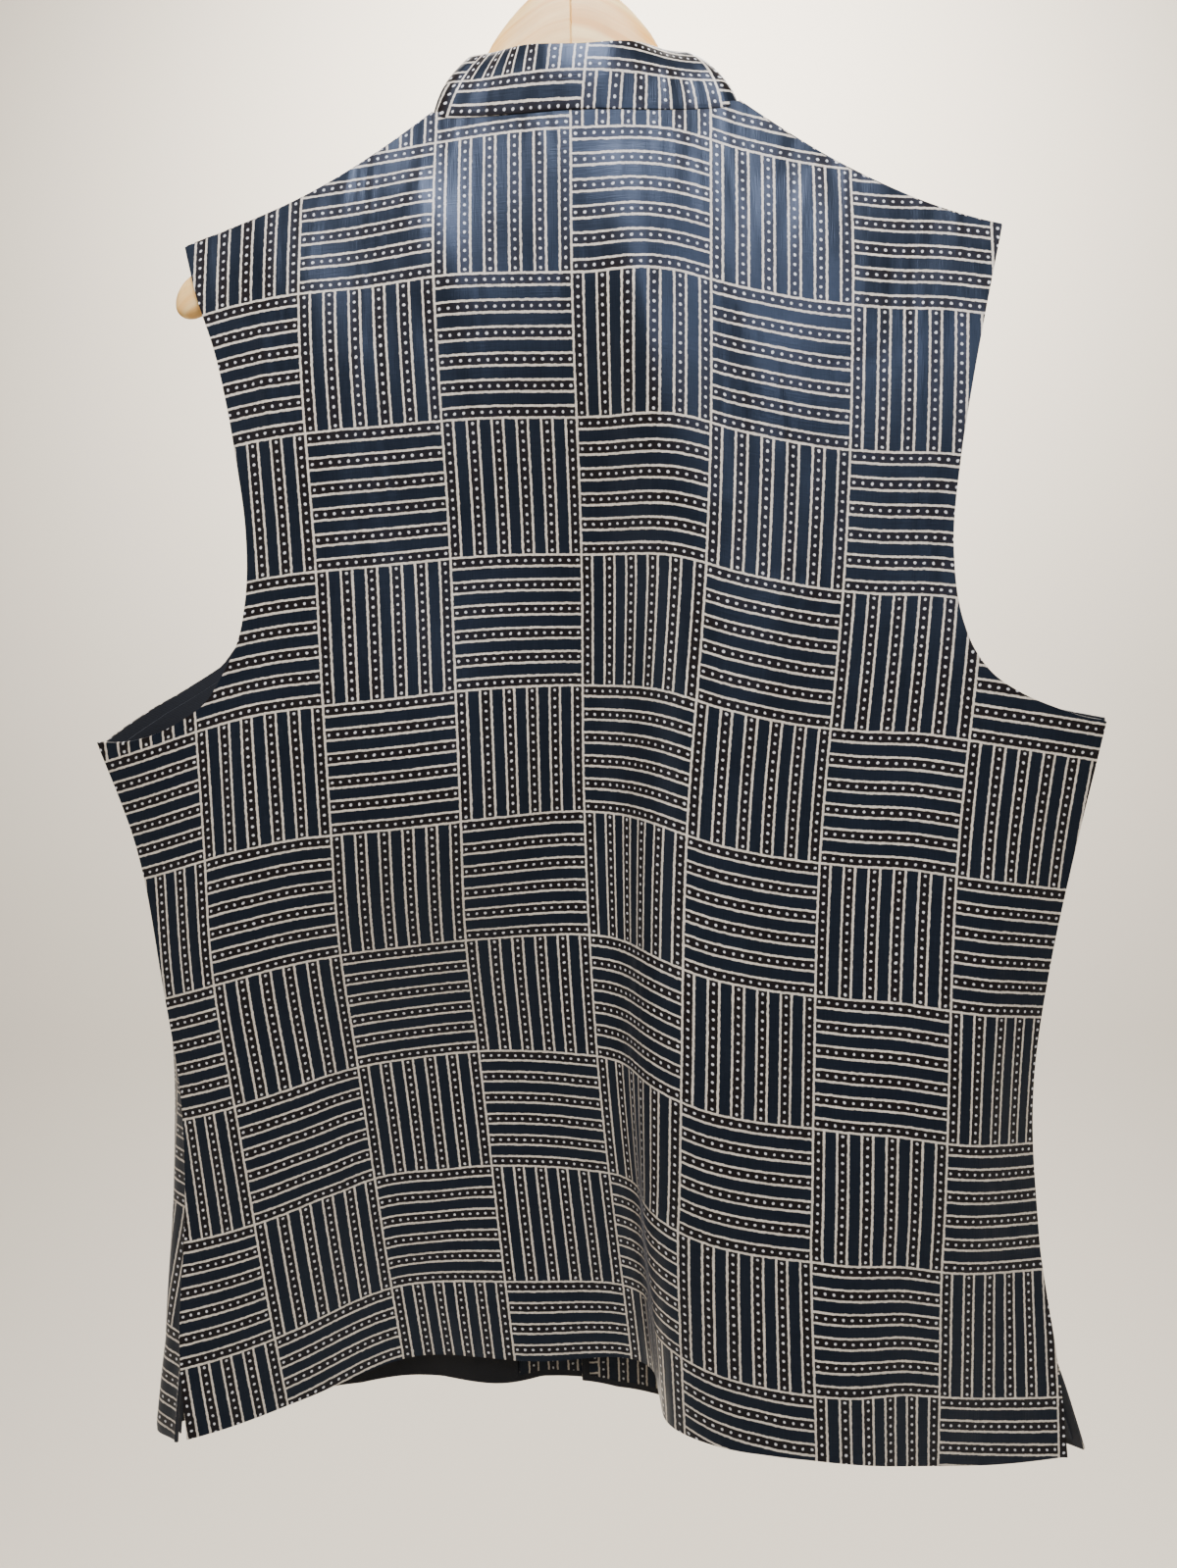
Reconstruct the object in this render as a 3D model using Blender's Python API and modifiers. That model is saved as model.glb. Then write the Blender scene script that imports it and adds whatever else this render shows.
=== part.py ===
# A sleeveless jacket with a band collar, hanging on a wooden hanger with its back to -Y.
# Metres, +Z up. The origin is the inner top of the hanger's hook, where a rail or a peg holds it.
# "s" is a distance across the flat cloth from the centre line, positive towards +X,
# and "t" is a distance down from the level of the collar's seam at the centre of the back.
import math

import bmesh
import bpy
import numpy as np
from mathutils import Vector

MM = 0.001

# Cloth thicknesses and the clearance between neighbouring pieces
WALL = 1.8 * MM
LINING_WALL = 1.0 * MM
COLLAR_WALL = 3.0 * MM
GAP = 0.3 * MM
SKIN_GAP = 0.5 * MM
SKIN_JOINT = 0.8 * MM

# The flat cut, millimetres
NECK_HALF = 85
NECK_RISE = 7
FRONT_NECK_DROP = 84
TIP_HALF = 228
TIP_DROP = 47
SHOULDER_HOLLOW = 11
ACROSS_BACK_HALF = 202
ACROSS_CHEST_HALF = 188
ARMHOLE_TURN_DROP = 212
UNDERARM_DROP = 309
HEM_DROP = 750
VENT_DROP = 696
VENT_SPREAD = 12
FRONT_HEM_EXTRA = 40
OVERLAP = 18
FACING_WIDTH = 80
SKIN_INSET = 6
OVERLAP_LIFT = 4.8

# Half widths below the armhole: drop, back_half, left_front_half, right_front_half
SIDE_ROWS = (
    (309, 296, 300, 299),
    (380, 287, 302, 291),
    (450, 279, 299, 284),
    (520, 276, 296, 281),
    (600, 282, 303, 286),
    (699, 296, 318, 300),
    (750, 301, 323, 306),
)
BACK_SIDE = 1
LEFT_SIDE = 2
RIGHT_SIDE = 3

# The shoulder seams lie just before the hook's plane: the depths below are moved back by this.
CLOTH_DEPTH = 10

# How the back lies: millimetres behind (+) or before (-) the line of the cloth's depth.
# drop, centre_x, seam_left, flank_left, lobe_left, valley, fold_foot, fold_crest,
# lobe_right, flank_right, seam_right
BACK_STATIONS = (-300, -225, -150, -75, 0, 65, 150, 225, 300)
BACK_ROWS = (
    (-30, 8, -14, -16, -20, -28, -40, -30, -20, -16, -14),
    (90, 6, -48, -38, -42, -40, -38, -40, -38, -38, -46),
    (240, 6, -48, -34, -34, -20, -10, -32, -32, -34, -40),
    (390, 3, -12, -24, -20, -12, 10, -28, -24, -28, -12),
    (540, 7, 0, -10, 16, 24, 16, -32, -26, -28, 6),
    (750, 24, -10, 12, 44, 34, 36, -24, -38, -18, -2),
)
BACK_TOP_Z = -121
BACK_DROOP = (-38, -17, -8, -2, 0, -4, -13, -27, -37)

# How the fronts lie, in the same way: drop, centre_x, seam_left, turn_left, side_left,
# inner_left, centre, inner_right, side_right, turn_right, seam_right
FRONT_STATIONS = (-320, -250, -150, -75, 0, 75, 150, 250, 320)
FRONT_ROWS = (
    (-30, 4, -30, -20, -8, -4, 0, -4, -8, -20, -30),
    (60, 4, -30, -12, 20, 34, 38, 34, 20, -12, -30),
    (150, 4, -30, 2, 36, 50, 54, 50, 36, 2, -30),
    (309, 2, -34, 8, 44, 58, 62, 58, 44, 8, -30),
    (450, 0, -10, 34, 58, 62, 68, 60, 56, 28, -12),
    (600, -2, -6, 38, 70, 60, 76, 60, 64, 34, -4),
    (800, 0, -6, 40, 76, 60, 80, 56, 70, 36, -4),
)
FRONT_TOP_Z = -119
FRONT_DROOP = (-36, -22, -9, -2, 0, -2, -9, -22, -36)

# The left front's soft turn outside the side seam: drop, reach outwards
TURN_ROWS = ((309, 2), (394, 10), (500, 14), (800, 13))
TURN_WIDTH = 60
SEAM_BLEND = 38
SHOULDER_BLEND = 110
SHOULDER_ROUND = 10

# Grid of the panels: rows below the shoulder's tip, round the armhole's turn, then down the side
SHOULDER_ROWS = (0, SKIN_INSET, 13, 24, 43, 72, 113, 156)
PIT_ROWS_DROP = 245
PIT_ROWS = 6
SIDE_GRID_ROWS = 12
BACK_COLUMNS = 34
LINING_COLUMNS = 13
LINING_CROWDING = 1.5
FACING_COLUMNS = 4
EDGE_COLUMNS = 2

# Band collar
COLLAR_HEIGHT = 36
COLLAR_RAISE = 2.9
COLLAR_SIDE_LEAN = 33
COLLAR_BACK_LEAN = 15
COLLAR_FRONT_LEAN = 14
COLLAR_CORNER = 16
COLLAR_COLUMNS = 48
COLLAR_LEVELS = 3

# Buttons down the centre of the fronts
BUTTON_COUNT = 5
BUTTON_DIAMETER = 15
BUTTON_THICKNESS = 2.8
BUTTON_FIRST_DROP = 104
BUTTON_PITCH = 108

# Hanger
HANGER_REACH = 229
HANGER_THICKNESS = 12
HANGER_TIP = 13
HANGER_STATIONS = 20
HANGER_SIDES = 12
# Outline of an arm, from the centre joint out: across, top, bottom, depth
HANGER_ROWS = (
    (0, -64.5, -166, 0),
    (12, -67, -168, 0),
    (25.6, -77.8, -171, 0),
    (38, -90.5, -175, 0),
    (47.6, -104, -178, 0),
    (52, -114, -179, -1),
    (56, -127, -181, -3),
    (61, -140, -183, -6),
    (68, -151, -185, -9.5),
    (80, -158.5, -190, -12.5),
    (112, -179, -205, -14.5),
    (153, -201, -224, -16),
    (193, -219, -242, -17),
    (217, -227, -251, -17.5),
    (229, -232, -255.5, -17.5),
)
HOOK_WIRE = 3.8
HOOK_RADIUS = 24
HOOK_END_ANGLE = 200
# the flat on top of the hump is this much below its outline's peak
HUMP_FLAT = 1.4


def clear_scene():
    for item in list(bpy.data.objects):
        bpy.data.objects.remove(item, do_unlink=True)


def smooth(known_x, known_y, at):
    """Cubic through the known points; known_y may hold several curves, one a row."""
    x = np.asarray(known_x, float)
    y = np.asarray(known_y, float)
    at = np.clip(at, x[0], x[-1])
    gaps = np.diff(x)
    slopes = np.diff(y, axis=-1) / gaps
    tangent = np.empty_like(y)
    tangent[..., 1:-1] = (slopes[..., :-1] * gaps[1:] + slopes[..., 1:] * gaps[:-1]) / (gaps[1:] + gaps[:-1])
    tangent[..., 0] = slopes[..., 0]
    tangent[..., -1] = slopes[..., -1]
    i = np.clip(np.searchsorted(x, at) - 1, 0, len(x) - 2)
    h = gaps[i]
    u = (at - x[i]) / h
    start = (2 * u**3 - 3 * u**2 + 1) * y[..., i] + (u**3 - 2 * u**2 + u) * h * tangent[..., i]
    end = (3 * u**2 - 2 * u**3) * y[..., i + 1] + (u**3 - u**2) * h * tangent[..., i + 1]
    return start + end


def fade(u):
    """1 at u = 0, falling softly to 0 at u = 1."""
    u = np.clip(u, 0, 1)
    return (1 - u) ** 2 * (1 + 2 * u)


class Lie:
    """A hanging sheet: its depth is given, and its width and length follow from the cloth."""

    step = 0.004

    def __init__(self, rows, stations, droop, top_z, taut):
        rows = np.array(rows, float) * MM
        stations = np.array(stations, float) * MM
        step = self.step
        self.s = np.arange(-0.340, 0.3401, step)
        self.t = np.arange(-0.030, 0.8201, step)
        across = smooth(stations, rows[:, 2:], self.s)
        self.y = smooth(rows[:, 0], across.T, self.t).T + CLOTH_DEPTH * MM
        centre = smooth(rows[:, 0], rows[:, 1], self.t)
        fall = np.ones_like(self.y)
        if taut:
            fall = np.sqrt(np.clip(1 - np.gradient(self.y, step, axis=0) ** 2, 0.05, 1))
        fallen = np.zeros_like(self.y)
        fallen[1:] = np.cumsum((fall[1:] + fall[:-1]) / 2 * step, axis=0)
        self.z = top_z * MM + smooth(stations, np.array(droop, float) * MM, self.s)[None] - fallen
        run = 1 - np.gradient(self.y, step, axis=1) ** 2 - np.gradient(self.z, step, axis=1) ** 2
        run = np.sqrt(np.clip(run, 0.02, 1))
        width = np.zeros_like(run)
        width[:, 1:] = np.cumsum((run[:, 1:] + run[:, :-1]) / 2 * step, axis=1)
        middle = np.argmin(abs(self.s))
        self.x = centre[:, None] + width - width[:, middle:middle + 1]

    def at(self, s, t):
        column = np.clip((s - self.s[0]) / self.step, 0, len(self.s) - 1.001)
        row = np.clip((t - self.t[0]) / self.step, 0, len(self.t) - 1.001)
        i = column.astype(int)
        j = row.astype(int)
        u = column - i
        v = row - j
        point = []
        for grid in (self.x, self.y, self.z):
            upper = grid[j, i] * (1 - u) + grid[j, i + 1] * u
            lower = grid[j + 1, i] * (1 - u) + grid[j + 1, i + 1] * u
            point.append(upper * (1 - v) + lower * v)
        return np.stack(point, axis=-1)


BACK = Lie(BACK_ROWS, BACK_STATIONS, BACK_DROOP, BACK_TOP_Z, taut=True)
FRONT = Lie(FRONT_ROWS, FRONT_STATIONS, FRONT_DROOP, FRONT_TOP_Z, taut=False)


def side_half(t, column):
    rows = np.array(SIDE_ROWS, float) * MM
    return smooth(rows[:, 0], rows[:, column], t)


def outline_half(t, narrow, column):
    """Half width of a panel at drop t: armhole above, side seam below."""
    narrow = narrow * MM
    turn = ARMHOLE_TURN_DROP * MM
    pit = UNDERARM_DROP * MM
    wide = float(side_half(pit, column))
    above = np.clip((turn - t) / (turn - TIP_DROP * MM), 0, 1)
    upper = narrow + (TIP_HALF * MM - narrow) * above**2
    u = np.clip((t - turn) / (pit - turn), 0, 1)
    curve = narrow + (wide - narrow) * (1 - (1 - u**2.5) ** (1 / 2.5))
    return np.where(t < turn, upper, np.where(t < pit, curve, side_half(t, column)))


def shoulder_drop(s):
    u = np.clip((abs(s) - NECK_HALF * MM) / ((TIP_HALF - NECK_HALF) * MM), 0, 1)
    return (-NECK_RISE + (TIP_DROP + NECK_RISE) * u + SHOULDER_HOLLOW * np.sin(math.pi * u)) * MM


def back_top(s):
    u = np.clip(abs(s) / (NECK_HALF * MM), 0, 1)
    return np.where(u < 1, -NECK_RISE * MM * u**2.2, shoulder_drop(s))


def front_top(s):
    u = np.clip(abs(s) / (NECK_HALF * MM), 0, 1)
    depth = (FRONT_NECK_DROP + NECK_RISE) * MM
    neck = FRONT_NECK_DROP * MM - depth * (1 - (1 - u**2.2) ** (1 / 1.8))
    return np.where(u < 1, neck, shoulder_drop(s))


def front_hem(s):
    half = np.where(s < 0, SIDE_ROWS[-1][LEFT_SIDE], SIDE_ROWS[-1][RIGHT_SIDE]) * MM
    return (HEM_DROP + FRONT_HEM_EXTRA * (1 - np.clip(abs(s) / half, 0, 1) ** 1.5)) * MM


def back_point(s, t):
    s, t = np.broadcast_arrays(np.asarray(s, float), np.asarray(t, float))
    return BACK.at(s, t)


def front_point(s, t):
    """The fronts' inner face, joined to the back along the shoulders and side seams."""
    s, t = np.broadcast_arrays(np.asarray(s, float), np.asarray(t, float))
    sign = np.where(s < 0, -1.0, 1.0)
    point = FRONT.at(s, t)

    at_shoulder = np.clip(abs(s), NECK_HALF * MM, TIP_HALF * MM) * sign
    top = shoulder_drop(at_shoulder)
    below = (t - top) / (SHOULDER_BLEND * MM)
    shift = BACK.at(at_shoulder, top) - FRONT.at(at_shoulder, top)
    point = point + shift * fade(below)[..., None]
    over_arm = np.clip(below * 5, 0, 1)
    over_arm = over_arm * (2 - over_arm) * fade(below) * SHOULDER_ROUND * MM
    point[..., 1] += over_arm
    point[..., 2] += over_arm

    level = np.clip(t, UNDERARM_DROP * MM, HEM_DROP * MM)
    half = np.where(s < 0, side_half(level, LEFT_SIDE), side_half(level, RIGHT_SIDE))
    shift = BACK.at(sign * side_half(level, BACK_SIDE), level) - FRONT.at(sign * half, level)
    inwards = half - abs(s)
    above = (UNDERARM_DROP * MM - t) / (SHOULDER_BLEND * MM)
    point = point + shift * (fade(inwards / (SEAM_BLEND * MM)) * fade(above))[..., None]

    turn = np.array(TURN_ROWS, float) * MM
    reach = smooth(turn[:, 0], turn[:, 1], t) * fade(above)
    wave = np.sin(math.pi * np.clip(inwards / (TURN_WIDTH * MM), 0, 1)) ** 2
    point[..., 0] -= np.where(s < 0, reach * wave, 0)

    opened = np.clip((t - VENT_DROP * MM) / ((HEM_DROP - VENT_DROP) * MM), 0, 1)
    spread = opened * VENT_SPREAD * MM * fade(inwards / (2 * SEAM_BLEND * MM))
    point[..., 0] += sign * spread
    point[..., 1] += spread * 0.5
    return point


def overlap_lift(s):
    """How far the left front stands outside the right one near the centre."""
    u = np.clip((s + 0.080) / 0.055, 0, 1)
    return OVERLAP_LIFT * MM * u * u * (3 - 2 * u)


def surface_normal(point_at, s, t):
    """Normal of the cloth towards +Y: inwards on the back, outwards on the fronts."""
    h = 0.002
    along_s = point_at(s + h, t) - point_at(s - h, t)
    along_t = point_at(s, t + h) - point_at(s, t - h)
    normal = np.cross(along_s, along_t)
    return normal / np.linalg.norm(normal, axis=-1, keepdims=True)


def offset_front(s, t, out, left):
    """A point of a front moved outwards, and over the other front where it laps."""
    lift = overlap_lift(s) if left else 0.0 * s
    normal = surface_normal(front_point, s, t)
    return front_point(s, t) + normal * (out + lift)[..., None]


def row_levels():
    """Rows of every panel as shares of its length, close together under the arm.

    The second and the last but one are the edges of the skins inside the fronts.
    """
    tip, turn, pit, vent, hem = (d * MM for d in (TIP_DROP, PIT_ROWS_DROP, UNDERARM_DROP, VENT_DROP, HEM_DROP))
    into_pit = pit - (pit - turn) * (1 - np.linspace(0, 1, PIT_ROWS + 1)[:-1]) ** 2
    below_pit = np.linspace(pit + SKIN_INSET * MM, vent, SIDE_GRID_ROWS)
    drops = np.concatenate([tip + np.array(SHOULDER_ROWS) * MM, into_pit, [pit], below_pit,
                            [(vent + hem) / 2, hem - SKIN_INSET * MM, hem]])
    return (drops - tip) / (hem - tip)


def grid_normals(points):
    """Normals of a grid of points: at each, the mean over the cells that meet there."""
    cell = np.cross(points[1:, 1:] - points[:-1, :-1], points[:-1, 1:] - points[1:, :-1])
    cell /= np.linalg.norm(cell, axis=-1, keepdims=True)
    cell = np.pad(cell, ((1, 1), (1, 1), (0, 0)), mode="edge")
    normal = cell[1:, 1:] + cell[:-1, :-1] + cell[:-1, 1:] + cell[1:, :-1]
    return normal / np.linalg.norm(normal, axis=-1, keepdims=True)


def panel(name, points, thickness, outwards, material):
    """A grid moved onto the cloth's points, rows from the top, then thickened."""
    rows, columns = points.shape[0] - 1, points.shape[1] - 1
    bm = bmesh.new()
    bmesh.ops.create_grid(bm, x_segments=columns, y_segments=rows, size=1.0)
    bmesh.ops.triangulate(bm, faces=bm.faces, quad_method="FIXED")
    for vertex in bm.verts:
        column = round((vertex.co.x + 1) / 2 * columns)
        row = round((1 - vertex.co.y) / 2 * rows)
        vertex.co = points[row, column]
    mesh = bpy.data.meshes.new(name)
    bm.to_mesh(mesh)
    bm.free()
    piece = add_object(name, mesh, material)
    solid = piece.modifiers.new("Solidify", "SOLIDIFY")
    solid.thickness = thickness
    solid.offset = 1.0 if outwards else -1.0
    return piece


def make_material(name, colour, roughness, metallic=0.0):
    material = bpy.data.materials.new(name)
    material.use_nodes = True
    shader = material.node_tree.nodes["Principled BSDF"]
    shader.inputs["Base Color"].default_value = (*colour, 1.0)
    shader.inputs["Roughness"].default_value = roughness
    shader.inputs["Metallic"].default_value = metallic
    return material


def add_object(name, data, material):
    piece = bpy.data.objects.new(name, data)
    data.materials.append(material)
    COLLECTION.objects.link(piece)
    return piece


def back_points():
    """Points of the back, closer together over the main fold, just right of the centre."""
    u = np.linspace(0, 1, BACK_COLUMNS + 1)
    across = 2 * (u - 0.030 * np.sin(2 * math.pi * (u - 0.05))) - 1
    across[0], across[-1] = -1, 1
    down = row_levels()[:, None]
    top = back_top(across * TIP_HALF * MM) + GAP / 2
    t = top + (HEM_DROP * MM - top) * down
    s = across * (outline_half(t, ACROSS_BACK_HALF, BACK_SIDE) - GAP / 2)
    return back_point(s, t)


def front_points(left):
    """Points of a front's inner face. Grid lines mark the edges of its facing and lining."""
    sign = -1 if left else 1
    side = LEFT_SIDE if left else RIGHT_SIDE
    edge = -sign * OVERLAP * MM
    joint = sign * (FACING_WIDTH - OVERLAP) * MM
    border = SKIN_INSET * MM
    inner = np.concatenate([[edge + sign * border], np.linspace(0, joint, FACING_COLUMNS)])
    outer = 1 - (1 - np.linspace(0, 1, LINING_COLUMNS + 1)[1:]) ** LINING_CROWDING
    edge_share = np.linspace(0, 1, EDGE_COLUMNS + 1)[1:]
    down = row_levels()[:, None]

    def across(half, lining_half):
        near = np.concatenate([[edge], inner]) + 0 * half
        far = joint + (sign * lining_half - joint) * outer
        rim = sign * (lining_half + (half - lining_half) * edge_share)
        return np.concatenate([near, far, rim], axis=-1)

    def level_points(half):
        return across(np.array([half * MM]), np.array([half * MM - border]))

    top = front_top(level_points(TIP_HALF)) + GAP / 2
    hem = front_hem(level_points(SIDE_ROWS[-1][side]))
    t = top + (hem - top) * down
    # the lining keeps its distance from the edge, also below the armhole
    half = outline_half(t, ACROSS_CHEST_HALF, side) - GAP / 2
    lining_half = np.minimum(half, outline_half(t - border, ACROSS_CHEST_HALF, side)) - border
    s = np.stack([across(half[:, k:k + 1], lining_half[:, k:k + 1])[:, k] for k in range(t.shape[1])], axis=1)
    points = offset_front(s, t, 0.0 * s, left)
    return points if left else points[:, ::-1]


def build_back(material):
    return panel("back", back_points(), WALL, True, material)


def build_front(name, points, material):
    return panel(name, points, WALL, True, material)


def build_skins(side, points, lining, facing):
    """A front's lining and facing, side by side just inside it, on its own grid lines."""
    inside = points - grid_normals(points) * SKIN_GAP
    if side == "right":
        inside = inside[:, ::-1]
    inside = inside[1:-1, 1:-EDGE_COLUMNS]
    facing_part = inside[:, :FACING_COLUMNS + 1].copy()
    lining_part = inside[:, FACING_COLUMNS:].copy()
    step = lining_part[:, 1] - lining_part[:, 0]
    lining_part[:, 0] += step * (SKIN_JOINT / np.linalg.norm(step, axis=-1, keepdims=True))
    step = facing_part[:, -1] - facing_part[:, -2]
    facing_part[:, -1] -= step * (SKIN_JOINT / np.linalg.norm(step, axis=-1, keepdims=True))
    for name, part, material in (("lining", lining_part, lining), ("facing", facing_part, facing)):
        if side == "right":
            part = part[:, ::-1]
        panel(f"{name}_{side}", part, LINING_WALL, False, material)


def neck_ring():
    """Points of the neck's edge from the left front's centre round the back to the right."""
    count = 40
    neck = NECK_HALF * MM
    around = np.sin(np.linspace(0, math.pi / 2, count))
    left = -neck * around
    right = left[::-1] * -1
    front_left = offset_front(left, front_top(left), WALL / 2 + 0 * left, True)
    behind = np.linspace(-neck, neck, 2 * count)[1:-1]
    at_back = back_point(behind, back_top(behind))
    at_back = at_back + surface_normal(back_point, behind, back_top(behind)) * -WALL / 2
    front_right = offset_front(right, front_top(right), WALL / 2 + 0 * right, False)
    ring = np.concatenate([front_left, at_back, front_right])
    # soften the corners at the shoulder seams, ends held
    for _ in range(12):
        ring[1:-1] = (ring[:-2] + 2 * ring[1:-1] + ring[2:]) / 4
    length = np.concatenate([[0], np.cumsum(np.linalg.norm(np.diff(ring, axis=0), axis=1))])
    return ring, length


def build_collar(material):
    ring, length = neck_ring()
    total = length[-1]
    end_gap = 2 * MM

    def place(u, v):
        along = end_gap + u * (total - 2 * end_gap)
        base = np.stack([np.interp(along, length, ring[:, k]) for k in range(3)], axis=-1)
        middle = np.array([0.006, 0.5 * (ring[:, 1].min() + ring[:, 1].max())])
        out = base[:, :2] - middle
        out /= np.linalg.norm(out, axis=1, keepdims=True)
        sideways = abs(out[:, 0])
        end_lean = np.where(out[:, 1] < 0, COLLAR_BACK_LEAN, COLLAR_FRONT_LEAN)
        lean = np.radians(end_lean + (COLLAR_SIDE_LEAN - end_lean) * sideways**2)
        # the two front corners are rounded off
        corner = COLLAR_CORNER * MM
        from_end = np.clip(np.minimum(along, total - along) - end_gap, 0, corner)
        cut = corner - np.sqrt(np.clip(corner**2 - (corner - from_end) ** 2, 0, None))
        height = (COLLAR_HEIGHT * MM - cut) * (1 - v)
        point = base.copy()
        point[:, :2] -= out * (height * np.sin(lean))[:, None]
        point[:, 2] += COLLAR_RAISE * MM + height * np.cos(lean)
        return point

    u, v = np.meshgrid(np.linspace(0, 1, COLLAR_COLUMNS + 1), np.linspace(0, 1, COLLAR_LEVELS + 1))
    points = place(u.ravel(), v.ravel()).reshape(*u.shape, 3)
    collar = panel("collar", points, COLLAR_WALL, True, material)
    collar.modifiers["Solidify"].offset = 0.0
    return collar


def build_button(number, material):
    """A turned disc with a raised rim, flat on the left front."""
    radius = BUTTON_DIAMETER / 2 * MM
    thick = BUTTON_THICKNESS * MM
    profile = ((0.0, thick * 0.72), (radius * 0.62, thick * 0.72), (radius * 0.80, thick),
               (radius * 0.94, thick * 0.92), (radius, thick * 0.55), (radius * 0.90, 0.0), (0.0, 0.0))
    name = f"button_{number}"
    mesh = bpy.data.meshes.new(name)
    mesh.from_pydata([(x, 0.0, z) for x, z in profile], [(i, i + 1) for i in range(len(profile) - 1)], [])
    button = add_object(name, mesh, material)
    screw = button.modifiers.new("Screw", "SCREW")
    screw.steps = screw.render_steps = 16
    screw.use_merge_vertices = True
    screw.merge_threshold = 0.00001
    drop = np.array([(BUTTON_FIRST_DROP + (number - 1) * BUTTON_PITCH) * MM])
    across = np.array([0.0])
    normal = surface_normal(front_point, across, drop)[0]
    seat = offset_front(across, drop, np.array([WALL + GAP]), True)[0]
    button.location = seat
    button.rotation_euler = Vector(normal).to_track_quat("Z", "Y").to_euler()
    return button


def build_hanger_half(name, sign, material):
    """Upright slices lofted from the centre joint, over the hump, to the rounded tip."""
    reach = HANGER_REACH * MM
    tip = HANGER_TIP * MM
    outline = np.array(HANGER_ROWS, float) * MM
    joint = GAP / 2
    stations = np.concatenate([joint + (reach - tip) * np.linspace(0, 1, HANGER_STATIONS),
                               reach - tip + tip * np.sin(np.linspace(0.4, 1.4, 4))])
    bm = bmesh.new()
    rings = []
    for x in stations:
        top = float(smooth(outline[:, 0], outline[:, 1], x))
        bottom = float(smooth(outline[:, 0], outline[:, 2], x))
        past = max(0.0, x - (reach - tip)) / tip
        closing = math.sqrt(max(0.0, 1 - past**2))
        half_height = (top - bottom) / 2 * closing
        half_thick = HANGER_THICKNESS / 2 * MM * closing
        middle = (top + bottom) / 2
        depth = float(smooth(outline[:, 0], outline[:, 3], x))
        ring = []
        for k in range(HANGER_SIDES):
            angle = 2 * math.pi * (k + 0.5) / HANGER_SIDES
            cosine = math.copysign(abs(math.cos(angle)) ** 0.8, math.cos(angle))
            sine = math.copysign(abs(math.sin(angle)) ** 0.8, math.sin(angle))
            ring.append(bm.verts.new((sign * x, depth + half_thick * cosine, middle + half_height * sine)))
        rings.append(ring)
    for first, second in zip(rings, rings[1:]):
        for k in range(HANGER_SIDES):
            n = (k + 1) % HANGER_SIDES
            bm.faces.new((first[k], first[n], second[n], second[k]))
    bm.faces.new(rings[0])
    bm.faces.new(rings[-1])
    bmesh.ops.recalc_face_normals(bm, faces=bm.faces)
    mesh = bpy.data.meshes.new(name)
    bm.to_mesh(mesh)
    bm.free()
    half = add_object(name, mesh, material)
    mesh.shade_smooth()
    return half


def build_hook(material):
    """A bent wire: a short stem out of the hump, then a loop over the rail."""
    wire = HOOK_WIRE / 2 * MM
    radius = HOOK_RADIUS * MM + wire
    centre = -HOOK_RADIUS * MM
    start_angle = math.radians(-48)
    join = Vector((radius * math.cos(start_angle), 0.0, centre + radius * math.sin(start_angle)))
    foot = (HANGER_ROWS[0][1] - HUMP_FLAT) * MM + GAP
    stem_top = foot + 5 * MM
    route = [Vector((0, 0, foot)), Vector((0, 0, stem_top))]
    handle = Vector((0, 0, stem_top + 6 * MM))
    inward = join + Vector((math.sin(start_angle), 0, -math.cos(start_angle))) * 7 * MM
    for step in range(1, 6):
        u = step / 6
        route.append(route[1] * (1 - u) ** 3 + handle * 3 * u * (1 - u) ** 2
                     + inward * 3 * u * u * (1 - u) + join * u**3)
    arc_steps = 20
    for step in range(arc_steps + 1):
        angle = start_angle + (math.radians(HOOK_END_ANGLE) - start_angle) * step / arc_steps
        route.append(Vector((radius * math.cos(angle), 0.0, centre + radius * math.sin(angle))))
    curve = bpy.data.curves.new("hanger_hook", "CURVE")
    curve.dimensions = "3D"
    curve.bevel_depth = wire
    curve.bevel_resolution = 2
    curve.use_fill_caps = True
    spline = curve.splines.new("POLY")
    spline.points.add(len(route) - 1)
    for point, place in zip(spline.points, route):
        point.co = (*place, 1.0)
    return add_object("hanger_hook", curve, material)


clear_scene()
COLLECTION = bpy.data.collections.new("jacket_on_hanger")
bpy.context.scene.collection.children.link(COLLECTION)

print_cloth = make_material("printed_silk_blend", (0.020, 0.030, 0.050), 0.45)
left_cloth = make_material("printed_silk_blend_left", (0.028, 0.040, 0.062), 0.45)
right_cloth = make_material("printed_silk_blend_right", (0.024, 0.034, 0.056), 0.45)
collar_cloth = make_material("printed_silk_blend_collar", (0.034, 0.048, 0.075), 0.45)
facing_cloth = make_material("printed_silk_blend_facing", (0.060, 0.062, 0.070), 0.5)
lining_cloth = make_material("dark_lining", (0.008, 0.009, 0.014), 0.6)
button_plastic = make_material("dark_button", (0.012, 0.013, 0.018), 0.3)
pale_wood = make_material("pale_lacquered_wood", (0.66, 0.47, 0.26), 0.4)
wire_metal = make_material("plated_wire", (0.62, 0.62, 0.60), 0.25, 1.0)

build_back(print_cloth)
for side, front_cloth in (("left", left_cloth), ("right", right_cloth)):
    on_left = side == "left"
    inner_points = front_points(on_left)
    build_front(f"front_{side}", inner_points, front_cloth)
    build_skins(side, inner_points, lining_cloth, facing_cloth)
build_collar(collar_cloth)
for button_number in range(1, BUTTON_COUNT + 1):
    build_button(button_number, button_plastic)
build_hanger_half("hanger_left", -1, pale_wood)
build_hanger_half("hanger_right", 1, pale_wood)
build_hook(wire_metal)
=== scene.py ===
import math

import bmesh
import bpy
import numpy as np
from mathutils import Matrix, Vector


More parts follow.
